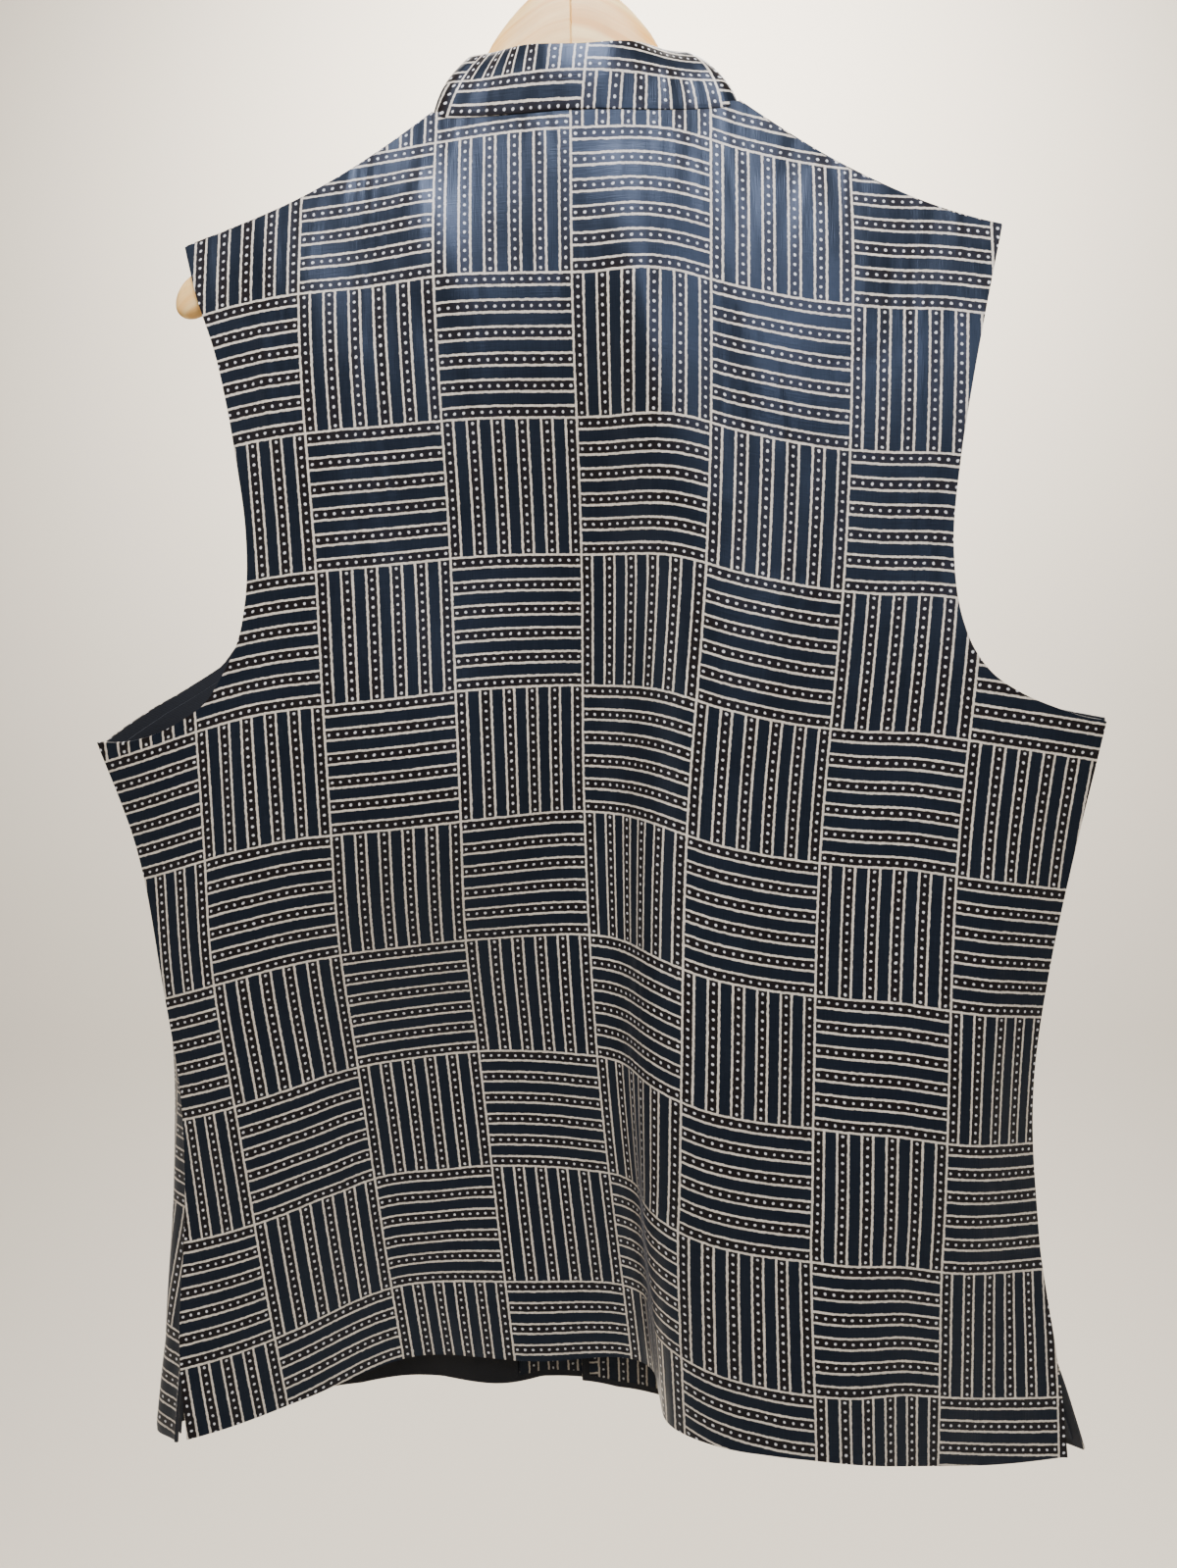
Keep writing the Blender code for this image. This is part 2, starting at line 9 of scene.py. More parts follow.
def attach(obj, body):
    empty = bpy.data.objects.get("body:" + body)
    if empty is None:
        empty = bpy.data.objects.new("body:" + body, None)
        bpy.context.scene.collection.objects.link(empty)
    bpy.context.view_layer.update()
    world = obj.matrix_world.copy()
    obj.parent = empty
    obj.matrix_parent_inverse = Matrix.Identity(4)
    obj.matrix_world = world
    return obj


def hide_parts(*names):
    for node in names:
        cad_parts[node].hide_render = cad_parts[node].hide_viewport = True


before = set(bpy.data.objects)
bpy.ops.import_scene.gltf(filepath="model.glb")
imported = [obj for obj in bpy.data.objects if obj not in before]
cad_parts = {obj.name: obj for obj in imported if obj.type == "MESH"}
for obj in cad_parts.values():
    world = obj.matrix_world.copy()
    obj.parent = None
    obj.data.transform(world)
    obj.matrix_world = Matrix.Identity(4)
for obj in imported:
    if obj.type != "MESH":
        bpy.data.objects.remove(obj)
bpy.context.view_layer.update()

# A sleeveless band-collar jacket on a wooden hanger, its back to -Y.
# Metres, +Z up, origin inside the hook's loop.
# s runs across the flat cloth from the centre, t runs down from the collar's seam at the centre of the back.
mm = 0.001
print("frame loaded")

# camera: the photograph's own view, 27 mm lens on a 36 mm side
cameraSet = {
    "place": (0.0488, -0.6883, -0.487),
    "yaw": 4.0,      # towards the wearer's left
    "pitch": 3.0,    # down
    "roll": 1.2,     # clockwise
    "lens": 27.04,
}
yaw, pitch, roll = (math.radians(cameraSet[k]) for k in ("yaw", "pitch", "roll"))
forward = Vector((-math.sin(yaw) * math.cos(pitch), math.cos(yaw) * math.cos(pitch), -math.sin(pitch)))
level = Vector((math.cos(yaw), math.sin(yaw), 0))
upright = level.cross(forward)
right = level * math.cos(roll) - upright * math.sin(roll)
above = level * math.sin(roll) + upright * math.cos(roll)
lensData = bpy.data.cameras.new("photoCamera")
lensData.lens = cameraSet["lens"]
lensData.sensor_width = 36
lensData.clip_start = 0.02
camera = bpy.data.objects.new("photoCamera", lensData)
turned = Matrix((right, above, -forward)).transposed().to_4x4()
camera.matrix_world = Matrix.Translation(cameraSet["place"]) @ turned
bpy.context.scene.collection.objects.link(camera)
bpy.context.scene.camera = camera


def smoothCurve(knownX, knownY, at):
    # cubic through the known points; knownY may hold several curves, one a row
    x = np.asarray(knownX, float)
    y = np.asarray(knownY, float)
    at = np.clip(at, x[0], x[-1])
    gaps = np.diff(x)
    slopes = np.diff(y, axis=-1) / gaps
    tangent = np.empty_like(y)
    tangent[..., 1:-1] = (slopes[..., :-1] * gaps[1:] + slopes[..., 1:] * gaps[:-1]) / (gaps[1:] + gaps[:-1])
    tangent[..., 0] = slopes[..., 0]
    tangent[..., -1] = slopes[..., -1]
    i = np.clip(np.searchsorted(x, at) - 1, 0, len(x) - 2)
    h = gaps[i]
    u = (at - x[i]) / h
    start = (2 * u**3 - 3 * u**2 + 1) * y[..., i] + (u**3 - 2 * u**2 + u) * h * tangent[..., i]
    end = (3 * u**2 - 2 * u**3) * y[..., i + 1] + (u**3 - u**2) * h * tangent[..., i + 1]
    return start + end


def metres(table):
    return np.array(table, float) * mm


def fade(u):
    u = np.clip(u, 0, 1)
    return (1 - u) ** 2 * (1 + 2 * u)


# the cut, millimetres
cut = {
    "neckHalf": 85, "neckRise": 7, "frontNeckDrop": 84,
    "tipHalf": 228, "tipDrop": 47, "shoulderHollow": 11,
    "backHalf": 202, "chestHalf": 188, "armholeTurn": 212, "underarm": 309,
    "hem": 750, "cornerRise": 6, "vent": 696, "ventSpread": 12, "frontHemExtra": 40,
    "overlap": 18, "facing": 80, "skinInset": 5,
    "lapLift": 4.8, "lapFrom": -80, "lapWidth": 55,    # the left front rises over the right one
    "wall": 1.8, "liningWall": 1.0, "skinGap": 0.5, "edgeMargin": 0.15,
    "seamCalm": 26, "centreCalm": 50,    # creases fade over these near a seam and the centre
}
# how square the curves turn
curves = {"neck": 2.2, "frontNeck": 1.8, "frontHem": 1.5, "armhole": 2.5, "rightFrontArmhole": 2.3}
# the armholes: drop and half width, from the shoulder tip to the underarm corner
leftArmhole = ((47, 228), (78, 220), (114, 209), (142, 204), (176, 200.5), (214, 198.5), (256, 202),
               (275, 207), (294, 218), (307, 229), (313, 243), (316, 260), (315, 279), (310, 296))
rightArmhole = ((47, 228), (90, 219), (136, 211), (176, 206), (226, 205), (260, 212), (276, 220),
                (288, 231), (297, 247), (304, 267), (308.5, 284), (310, 296))
leftFrontArmhole = ((47, 228), (78, 220), (114, 211), (150, 206), (190, 206), (222, 211), (246, 219),
                    (268, 227), (279, 236), (285, 248), (292, 262), (296, 272), (302, 283), (306, 291),
                    (310, 296))
# half widths below the armhole: drop, back's left, back's right, left front, right front
sideRows = (
    (309, 296, 296, 300, 299),
    (380, 281, 292, 302, 291),
    (450, 272, 286, 299, 284),
    (520, 269, 282, 296, 281),
    (600, 277, 288, 303, 286),
    (699, 294, 300, 318, 300),
    (750, 298, 304, 323, 306),
)
backLeftSide, backRightSide, leftSide, rightSide = 1, 2, 3, 4
# the left front's hem rides up a little between its facing and the side: s, rise
leftHemRise = ((-175, 0), (-116, 8.5), (-45, 10.5), (6, 0))

# how the back lies: drop, centre's x, then depth at each station across
backLie = {
    "stations": (-300, -225, -150, -75, 0, 65, 150, 225, 300),
    "rows": (
        (-30, 8, -14, -16, -20, -28, -40, -30, -20, -16, -14),
        (90, 6, -48, -38, -42, -40, -38, -40, -38, -38, -46),
        (240, 6, -48, -34, -34, -20, -10, -32, -32, -34, -40),
        (390, 3, -12, -24, -20, -12, 10, -28, -24, -28, -12),
        (540, 7, 0, -10, 16, 24, 16, -32, -26, -28, 6),
        (750, 24, -10, 12, 44, 34, 36, -24, -38, -18, -2),
    ),
    "top": -121,
    "droop": (-42, -17, -8, -2, 0, -4, -13, -27, -37),
    "taut": True,
}
frontLie = {
    "stations": (-320, -250, -150, -75, 0, 75, 150, 250, 320),
    "rows": (
        (-30, 4, -30, -20, -8, -4, 0, -4, -8, -20, -30),
        (60, 4, -30, -12, 20, 34, 38, 34, 20, -12, -30),
        (150, 4, -30, 2, 36, 50, 54, 50, 36, 2, -30),
        (309, 2, -34, 8, 44, 58, 62, 58, 44, 8, -30),
        (450, 0, -10, 34, 58, 62, 68, 60, 56, 28, -12),
        (600, -2, -6, 38, 70, 60, 76, 60, 64, 34, -4),
        (800, 0, -6, 40, 76, 60, 80, 56, 70, 36, -4),
    ),
    "top": -119,
    "droop": (-36, -22, -9, -2, 0, -2, -9, -22, -36),
    "taut": False,
}
clothDepth = 10
turnRows = ((309, 2), (394, 10), (500, 14), (800, 13))
turnWidth, seamBlend, shoulderBlend, shoulderRound = 60, 38, 110, 10

# soft creases: from s, t to s, t, half width, height outwards, bow; they end past the hem
creasePast = {"back": 30, "front": 20}
backCreases = (
    (20, 20, 34, 250, 18, 4.2, 3),
    (62, 60, 74, 210, 15, -2.0, 2),
    (-98, 22, -62, 116, 18, 2.4, -4),
    (-150, 40, -118, 128, 20, -1.8, 5),
    (120, 30, 150, 130, 24, 2.0, 4),
    (-182, 92, -180, 172, 4, 0.9, 1),
    (-156, 142, -116, 119, 1.6, 0.45, 1),
    (-196, 300, -214, 470, 12, 2.2, -3),
    (-172, 330, -186, 440, 9, -1.2, 2),
    (118, 250, 96, 360, 16, 1.6, 4),
    (-96, 560, -150, 690, 16, 2.0, 6),
    (-206, 520, -168, 700, 13, 1.8, 4),
    (170, 520, 150, 740, 20, 1.8, 3),
    (206, 560, 204, 745, 14, -1.6, -2),
    (-20, 470, -26, 700, 14, 1.4, 3),
    (20, 690, 26, 752, 10, 1.2, 1),
    (-124, 700, -112, 752, 9, 1.0, 1),
    (110, 704, 118, 752, 9, -1.0, 1),
    (236, 380, 250, 520, 12, 1.4, 3),
)
frontCreases = (
    (-90, 110, -120, 300, 18, 2.0, 4),
    (84, 120, 118, 290, 16, 2.2, -5),
    (-60, 330, -96, 560, 20, 2.4, 6),
    (70, 360, 98, 600, 17, 2.0, -4),
    (-170, 380, -150, 640, 22, 2.6, 5),
    (176, 400, 150, 690, 20, 2.4, -6),
    (-34, 560, -44, 780, 14, 1.6, 2),
    (40, 600, 46, 780, 13, 1.5, 2),
    (-214, 330, -236, 420, 9, 1.2, 2),
    (216, 330, 240, 430, 9, 1.3, 2),
    (-120, 640, -110, 775, 14, -1.6, 2),
    (118, 660, 112, 775, 15, -1.4, 2),
)


def creaseHeight(s, t, creases):
    total = np.zeros(np.broadcast(s, t).shape)
    for fromS, fromT, toS, toT, halfWidth, height, bow in creases:
        along = np.array([toS - fromS, toT - fromT], float) * mm
        length = np.linalg.norm(along)
        along /= length
        ds, dt = s - fromS * mm, t - fromT * mm
        u = (ds * along[0] + dt * along[1]) / length
        side = ds * along[1] - dt * along[0] - bow * mm * 4 * u * (1 - u)
        taper = np.sin(math.pi * np.clip(u, 0, 1)) ** 0.8
        total += height * mm * taper * np.exp(-(side / (halfWidth * mm)) ** 2)
    return total


class HangingCloth:
    # the depth is given, and the width and length follow from the cloth
    step = 0.003

    def __init__(self, lie):
        rows = metres(lie["rows"])
        stations = metres(lie["stations"])
        step = self.step
        self.s = np.arange(-0.342, 0.3421, step)
        self.t = np.arange(-0.030, 0.8201, step)
        across = smoothCurve(stations, rows[:, 2:], self.s)
        self.y = smoothCurve(rows[:, 0], across.T, self.t).T + clothDepth * mm
        centre = smoothCurve(rows[:, 0], rows[:, 1], self.t)
        fall = np.ones_like(self.y)
        if lie["taut"]:
            fall = np.sqrt(np.clip(1 - np.gradient(self.y, step, axis=0) ** 2, 0.05, 1))
        fallen = np.zeros_like(self.y)
        fallen[1:] = np.cumsum((fall[1:] + fall[:-1]) / 2 * step, axis=0)
        droop = smoothCurve(stations, metres(lie["droop"]), self.s)
        self.z = lie["top"] * mm + droop[None] - fallen
        run = 1 - np.gradient(self.y, step, axis=1) ** 2 - np.gradient(self.z, step, axis=1) ** 2
        run = np.sqrt(np.clip(run, 0.02, 1))
        width = np.zeros_like(run)
        width[:, 1:] = np.cumsum((run[:, 1:] + run[:, :-1]) / 2 * step, axis=1)
        middle = np.argmin(abs(self.s))
        self.x = centre[:, None] + width - width[:, middle:middle + 1]

    def at(self, s, t):
        column = np.clip((s - self.s[0]) / self.step, 0, len(self.s) - 1.001)
        row = np.clip((t - self.t[0]) / self.step, 0, len(self.t) - 1.001)
        i, j = column.astype(int), row.astype(int)
        u, v = column - i, row - j
        place = []
        for grid in (self.x, self.y, self.z):
            upper = grid[j, i] * (1 - u) + grid[j, i + 1] * u
            lower = grid[j + 1, i] * (1 - u) + grid[j + 1, i + 1] * u
            place.append(upper * (1 - v) + lower * v)
        return np.stack(place, axis=-1)


backCloth = HangingCloth(backLie)
frontCloth = HangingCloth(frontLie)


def sideHalf(t, column):
    rows = metres(sideRows)
    return smoothCurve(rows[:, 0], rows[:, column], t)


def outlineHalf(t, narrow, column, power=curves["armhole"]):
    # half width at drop t: armhole above, side seam below
    narrow, turn, pit = narrow * mm, cut["armholeTurn"] * mm, cut["underarm"] * mm
    wide = float(sideHalf(pit, column))
    aboveTurn = np.clip((turn - t) / (turn - cut["tipDrop"] * mm), 0, 1)
    upper = narrow + (cut["tipHalf"] * mm - narrow) * aboveTurn**2
    u = np.clip((t - turn) / (pit - turn), 0, 1)
    curve = narrow + (wide - narrow) * (1 - (1 - u**power) ** (1 / power))
    return np.where(t < turn, upper, np.where(t < pit, curve, sideHalf(t, column)))


def shoulderDrop(s):
    u = np.clip((abs(s) - cut["neckHalf"] * mm) / ((cut["tipHalf"] - cut["neckHalf"]) * mm), 0, 1)
    fall = (cut["tipDrop"] + cut["neckRise"]) * u
    return (-cut["neckRise"] + fall + cut["shoulderHollow"] * np.sin(math.pi * u)) * mm


def backTop(s):
    u = np.clip(abs(s) / (cut["neckHalf"] * mm), 0, 1)
    return np.where(u < 1, -cut["neckRise"] * mm * u ** curves["neck"], shoulderDrop(s))


def frontTop(s):
    u = np.clip(abs(s) / (cut["neckHalf"] * mm), 0, 1)
    deep = (cut["frontNeckDrop"] + cut["neckRise"]) * mm
    neck = cut["frontNeckDrop"] * mm - deep * (1 - (1 - u ** curves["neck"]) ** (1 / curves["frontNeck"]))
    return np.where(u < 1, neck, shoulderDrop(s))


def frontHem(s):
    half = np.where(s < 0, sideRows[-1][leftSide], sideRows[-1][rightSide]) * mm
    raised = np.interp(s, *metres(leftHemRise).T)
    longer = cut["frontHemExtra"] * (1 - np.clip(abs(s) / half, 0, 1) ** curves["frontHem"])
    return (cut["hem"] + longer) * mm - raised


def backPoint(s, t):
    s, t = np.broadcast_arrays(np.asarray(s, float), np.asarray(t, float))
    return backCloth.at(s, t)


def frontPoint(s, t):
    # the fronts' inner face, joined to the back along the shoulders and side seams
    s, t = np.broadcast_arrays(np.asarray(s, float), np.asarray(t, float))
    sign = np.where(s < 0, -1.0, 1.0)
    place = frontCloth.at(s, t)
    atShoulder = np.clip(abs(s), cut["neckHalf"] * mm, cut["tipHalf"] * mm) * sign
    top = shoulderDrop(atShoulder)
    below = (t - top) / (shoulderBlend * mm)
    shift = backCloth.at(atShoulder, top) - frontCloth.at(atShoulder, top)
    place = place + shift * fade(below)[..., None]
    # rounded over the hanger's arm, at the top of the blend
    overArm = np.clip(below * 5, 0, 1)
    overArm = overArm * (2 - overArm) * fade(below) * shoulderRound * mm
    place[..., 1] += overArm
    place[..., 2] += overArm

    levelT = np.clip(t, cut["underarm"] * mm, cut["hem"] * mm)
    half = np.where(s < 0, sideHalf(levelT, leftSide), sideHalf(levelT, rightSide))
    atBack = np.where(s < 0, -sideHalf(levelT, backLeftSide), sideHalf(levelT, backRightSide))
    shift = backCloth.at(atBack, levelT) - frontCloth.at(sign * half, levelT)
    inwards = half - abs(s)
    aboveT = (cut["underarm"] * mm - t) / (shoulderBlend * mm)
    place = place + shift * (fade(inwards / (seamBlend * mm)) * fade(aboveT))[..., None]

    turn = metres(turnRows)
    reach = smoothCurve(turn[:, 0], turn[:, 1], t) * fade(aboveT)
    wave = np.sin(math.pi * np.clip(inwards / (turnWidth * mm), 0, 1)) ** 2
    place[..., 0] -= np.where(s < 0, reach * wave, 0)
    opened = np.clip((t - cut["vent"] * mm) / ((cut["hem"] - cut["vent"]) * mm), 0, 1)
    spread = opened * cut["ventSpread"] * mm * fade(inwards / (2 * seamBlend * mm))
    place[..., 0] += sign * spread
    place[..., 1] += spread * 0.5
    return place


def overlapLift(s):
    u = np.clip((s - cut["lapFrom"] * mm) / (cut["lapWidth"] * mm), 0, 1)
    return cut["lapLift"] * mm * u * u * (3 - 2 * u)


def surfaceNormal(pointAt, s, t):
    h = 0.002
    alongS = pointAt(s + h, t) - pointAt(s - h, t)
    alongT = pointAt(s, t + h) - pointAt(s, t - h)
    normal = np.cross(alongS, alongT)
    return normal / np.linalg.norm(normal, axis=-1, keepdims=True)


def edgeCalm(s, t, half, top, bottom):
    # creases die out at seams and edges, where the cloth is sewn
    inside = np.minimum(np.minimum(half - abs(s), t - top), bottom - t)
    return 1 - fade(inside / (cut["seamCalm"] * mm))


def offsetFront(s, t, out, left):
    # a point of a front moved outwards, creased, and over the other front where it laps
    lift = overlapLift(s) if left else 0.0 * s
    side = leftSide if left else rightSide
    normal = surfaceNormal(frontPoint, s, t)
    past = frontHem(s) + creasePast["front"] * mm
    calm = edgeCalm(s, t, outlineHalf(t, cut["chestHalf"], side), frontTop(s), past)
    calm = calm * (1 - fade(abs(s) / (cut["centreCalm"] * mm)))
    crease = creaseHeight(s, t, frontCreases) * calm
    return frontPoint(s, t) + normal * (out + lift + crease)[..., None]


def toLinear(text):
    values = [int(text[k:k + 2], 16) / 255 for k in (1, 3, 5)]
    return tuple(v / 12.92 if v <= 0.04045 else ((v + 0.055) / 1.055) ** 2.4 for v in values) + (1.0,)


def addNode(tree, kind, inputs=(), **settings):
    # adds a node with its settings and links, and returns its first output in use
    node = tree.nodes.new("ShaderNode" + kind)
    for name, value in settings.items():
        setattr(node, name, value)
    pairs = inputs.items() if isinstance(inputs, dict) else enumerate(inputs)
    for key, value in pairs:
        if isinstance(value, bpy.types.NodeSocket):
            tree.links.new(value, node.inputs[key])
        else:
            node.inputs[key].default_value = value
    return next((output for output in node.outputs if output.enabled), None)


def newMaterial(name):
    material = bpy.data.materials.new(name)
    material.use_nodes = True
    tree = material.node_tree
    tree.nodes.clear()
    return material, tree


# block print in millimetres: square blocks of stripes, turned by a quarter from one block to the next
printSet = {
    "block": 76.2, "period": 13.97, "dotted": 5.1, "line": 1.25, "lineBlur": 0.16,
    "dotPitch": 5.08, "dotRadius": 0.76, "dotBlur": 0.2,
    "columnAt": -6.5, "rowAt": 13.0, "skew": 0.028, "wobbleScale": 420, "wobble": 0.9,
    "plain": "#14181e", "dark": "#19130f", "beige": "#c8bca8", "dot": "#cfccc8",
}
satinSet = {
    "roughness": 0.33, "sheen": 0.04, "cloudScale": 22, "yarnTone": 0.26, "bump": 0.35,
    "slubScale": (55, 1300, 1), "warpScale": (1500, 90, 1), "rippleScale": (34, 8, 1), "ripple": 0.8,
}


def printedSatin(name, shade=1.0, roughness=satinSet["roughness"]):
    # printed silk-blend satin: dark yarn-dyed ground, pale pigment print, a soft blue lustre and fine slubs
    material, tree = newMaterial(name)
    flat = addNode(tree, "UVMap", uv_map="flat")
    # the print's edges waver by less than half a millimetre
    wobble = addNode(tree, "TexNoise", {"Vector": flat, "Scale": printSet["wobbleScale"], "Detail": 1.0})
    half, reach = (0.5, 0.5, 0.5), printSet["wobble"] * mm
    wobble = addNode(tree, "VectorMath", (wobble.node.outputs["Color"], half), operation="SUBTRACT")
    wobble = addNode(tree, "VectorMath", (wobble, (reach, reach, 0.0)), operation="MULTIPLY")
    spot = addNode(tree, "VectorMath", (flat, wobble), operation="ADD")
    s = addNode(tree, "SeparateXYZ", (spot,))
    t = s.node.outputs[1]
    # place in blocks: which block, and where in it
    block = printSet["block"]
    a = addNode(tree, "Math", (s, -printSet["columnAt"] * mm), operation="ADD")
    a = addNode(tree, "Math", (a, 1 / (block * mm)), operation="MULTIPLY")
    b = addNode(tree, "Math", (s, -printSet["skew"], t), operation="MULTIPLY_ADD")
    b = addNode(tree, "Math", (b, -printSet["rowAt"] * mm), operation="ADD")
    b = addNode(tree, "Math", (b, 1 / (block * mm)), operation="MULTIPLY")
    wholeA, wholeB = (addNode(tree, "Math", (k,), operation="FLOOR") for k in (a, b))
    partA, partB = (addNode(tree, "Math", (k,), operation="FRACT") for k in (a, b))
    turned = addNode(tree, "Math", (wholeA, wholeB), operation="ADD")
    turned = addNode(tree, "Math", (turned, 2.0), operation="FLOORED_MODULO")
    across = addNode(tree, "Mix", {0: turned, 2: partB, 3: partA})
    along = addNode(tree, "Mix", {0: turned, 2: partA, 3: partB})
    across, along = (addNode(tree, "Math", (k, block), operation="MULTIPLY") for k in (across, along))
    line, dotted, period = printSet["line"], printSet["dotted"], printSet["period"]
    band = addNode(tree, "Math", (across, line / 2), operation="SUBTRACT")
    band = addNode(tree, "Math", (band, period), operation="FLOORED_MODULO")
    # distance from the nearest pale line, at a block's ends or beside a band
    near = addNode(tree, "Math", (along, block / 2), operation="PINGPONG")
    for middle in (dotted + line / 2, period - line / 2):
        apart = addNode(tree, "Math", (band, middle), operation="SUBTRACT")
        apart = addNode(tree, "Math", (apart,), operation="ABSOLUTE")
        near = addNode(tree, "Math", (near, apart), operation="MINIMUM")
    blur = printSet["lineBlur"]
    pale = addNode(tree, "MapRange", {
        "Value": near, "From Min": line / 2 - blur, "From Max": line / 2 + blur,
        "To Min": 1.0, "To Max": 0.0})
    inDark = addNode(tree, "Math", (band, dotted + line / 2), operation="LESS_THAN")
    # dots along the middle of each dark band
    pitch, radius, blur = printSet["dotPitch"], printSet["dotRadius"], printSet["dotBlur"]
    row = addNode(tree, "Math", (along, pitch), operation="FLOORED_MODULO")
    row = addNode(tree, "Math", (row, pitch / 2), operation="SUBTRACT")
    column = addNode(tree, "Math", (band, dotted / 2), operation="SUBTRACT")
    apart = addNode(tree, "CombineXYZ", (row, column))
    apart = addNode(tree, "VectorMath", (apart,), operation="LENGTH")
    dots = addNode(tree, "MapRange", {
        "Value": apart, "From Min": radius - blur, "From Max": radius + blur, "To Min": 1.0, "To Max": 0.0})
    dots = addNode(tree, "Math", (dots, inDark), operation="MULTIPLY")
    # threads: slubs run across the cloth, far finer than they are long; about twice as coarse as real
    stretch = addNode(tree, "Mapping", {"Vector": flat, "Scale": satinSet["slubScale"]})
    slub = addNode(tree, "TexNoise", {"Vector": stretch, "Scale": 1.0, "Detail": 2.0, "Roughness": 0.6})
    stretch = addNode(tree, "Mapping", {"Vector": flat, "Scale": satinSet["warpScale"]})
    warp = addNode(tree, "TexNoise", {"Vector": stretch, "Scale": 1.0, "Detail": 1.0})
    weave = addNode(tree, "Math", (slub, warp), operation="ADD")
    # a shade below 1 darkens the whole print: painted shade
    tone = addNode(tree, "MapRange", {
        "Value": weave, "From Min": 0.7, "From Max": 1.3,
        "To Min": (1 - satinSet["yarnTone"]) * shade, "To Max": (1 + satinSet["yarnTone"]) * shade})
    colour = toLinear(printSet["plain"])
    for share, ink in ((inDark, "dark"), (dots, "dot"), (pale, "beige")):
        colour = addNode(tree, "Mix", {0: share, 6: colour, 7: toLinear(printSet[ink])}, data_type="RGBA")
    colour = addNode(tree, "VectorMath", {0: colour, "Scale": tone}, operation="SCALE")
    cloudy = addNode(tree, "TexNoise", {"Vector": flat, "Scale": satinSet["cloudScale"], "Detail": 2.0})
    gloss = addNode(tree, "MapRange", {
        "Value": cloudy, "From Min": 0.3, "From Max": 0.7,
        "To Min": roughness - 0.05, "To Max": roughness + 0.06})
    # soft upright ripples, too shallow to model, that break the lustre into streaks
    drape = addNode(tree, "Mapping", {"Vector": flat, "Scale": satinSet["rippleScale"]})
    ripple = addNode(tree, "TexNoise", {"Vector": drape, "Scale": 1.0, "Detail": 2.0, "Distortion": 0.4})
    fall = addNode(tree, "Bump", {"Strength": satinSet["ripple"], "Distance": 0.003, "Height": ripple})
    bump = addNode(tree, "Bump", {
        "Strength": satinSet["bump"], "Distance": 0.0002, "Height": weave, "Normal": fall})
    shader = addNode(tree, "BsdfPrincipled", {
        "Base Color": colour, "Roughness": gloss, "Normal": bump, "IOR": 1.5, "Specular IOR Level": 0.32,
        "Specular Tint": toLinear("#b9cdf0"), "Sheen Weight": satinSet["sheen"], "Sheen Roughness": 0.35,
        "Sheen Tint": toLinear("#9fb6dd")})
    addNode(tree, "OutputMaterial", (shader,))
    return material


def plainCloth(name, colour, pale, roughness, sheen):
    # close twill lining: matt, a little fluffed, darker in its fine diagonal
    material, tree = newMaterial(name)
    flat = addNode(tree, "UVMap", uv_map="flat")
    turn = addNode(tree, "Mapping", {"Vector": flat, "Rotation": (0, 0, math.radians(50))})
    twill = addNode(tree, "TexWave", {"Vector": turn, "Scale": 260.0, "Distortion": 1.5, "Detail": 1.0})
    fluff = addNode(tree, "TexNoise", {"Vector": flat, "Scale": 700.0, "Detail": 3.0})
    mixed = addNode(tree, "Math", (twill, 0.35, fluff), operation="MULTIPLY_ADD")
    share = addNode(tree, "MapRange", {"Value": mixed, "From Min": 0.3, "From Max": 1.1})
    shown = addNode(tree, "Mix", {0: share, 6: toLinear(colour), 7: toLinear(pale)}, data_type="RGBA")
    bump = addNode(tree, "Bump", {"Strength": 0.35, "Distance": 0.0003, "Height": mixed})
    shader = addNode(tree, "BsdfPrincipled", {
        "Base Color": shown, "Roughness": roughness, "Normal": bump, "Sheen Weight": sheen,
        "Sheen Roughness": 0.5})
    addNode(tree, "OutputMaterial", (shader,))
    return material


def lacqueredWood(name):
    # pale maple or schima under clear lacquer: fine straight grain along each arm, faint flecks, soft gloss
    material, tree = newMaterial(name)
    place = addNode(tree, "UVMap", uv_map="grain")
    slow = addNode(tree, "Mapping", {"Vector": place, "Scale": (9.0, 120.0, 1.0)})
    figure = addNode(tree, "TexNoise", {"Vector": slow, "Scale": 1.0, "Detail": 4.0, "Distortion": 0.6})
    fine = addNode(tree, "Mapping", {"Vector": place, "Scale": (60.0, 1800.0, 1.0)})
    pores = addNode(tree, "TexNoise", {"Vector": fine, "Scale": 1.0, "Detail": 2.0})
    cloudy = addNode(tree, "TexNoise", {"Vector": place, "Scale": 45.0, "Detail": 3.0})
    share = addNode(tree, "MapRange", {"Value": figure, "From Min": 0.36, "From Max": 0.66})
    body = addNode(tree, "Mix", {0: share, 6: toLinear("#eaa850"), 7: toLinear("#ffd890")}, data_type="RGBA")
    spots = addNode(tree, "MapRange", {
        "Value": cloudy, "From Min": 0.35, "From Max": 0.7, "To Min": 0.90, "To Max": 1.06})
    dark = addNode(tree, "MapRange", {
        "Value": pores, "From Min": 0.25, "From Max": 0.5, "To Min": 0.88, "To Max": 1.0})
    tone = addNode(tree, "Math", (spots, dark), operation="MULTIPLY")
    colour = addNode(tree, "VectorMath", {0: body, "Scale": tone}, operation="SCALE")
    bump = addNode(tree, "Bump", {"Strength": 0.12, "Distance": 0.0002, "Height": pores})
    shader = addNode(tree, "BsdfPrincipled", {
        "Base Color": colour, "Roughness": 0.42, "Normal": bump, "Coat Weight": 0.05, "Coat Roughness": 0.3,
        "Specular IOR Level": 0.25})
    addNode(tree, "OutputMaterial", (shader,))
    return material


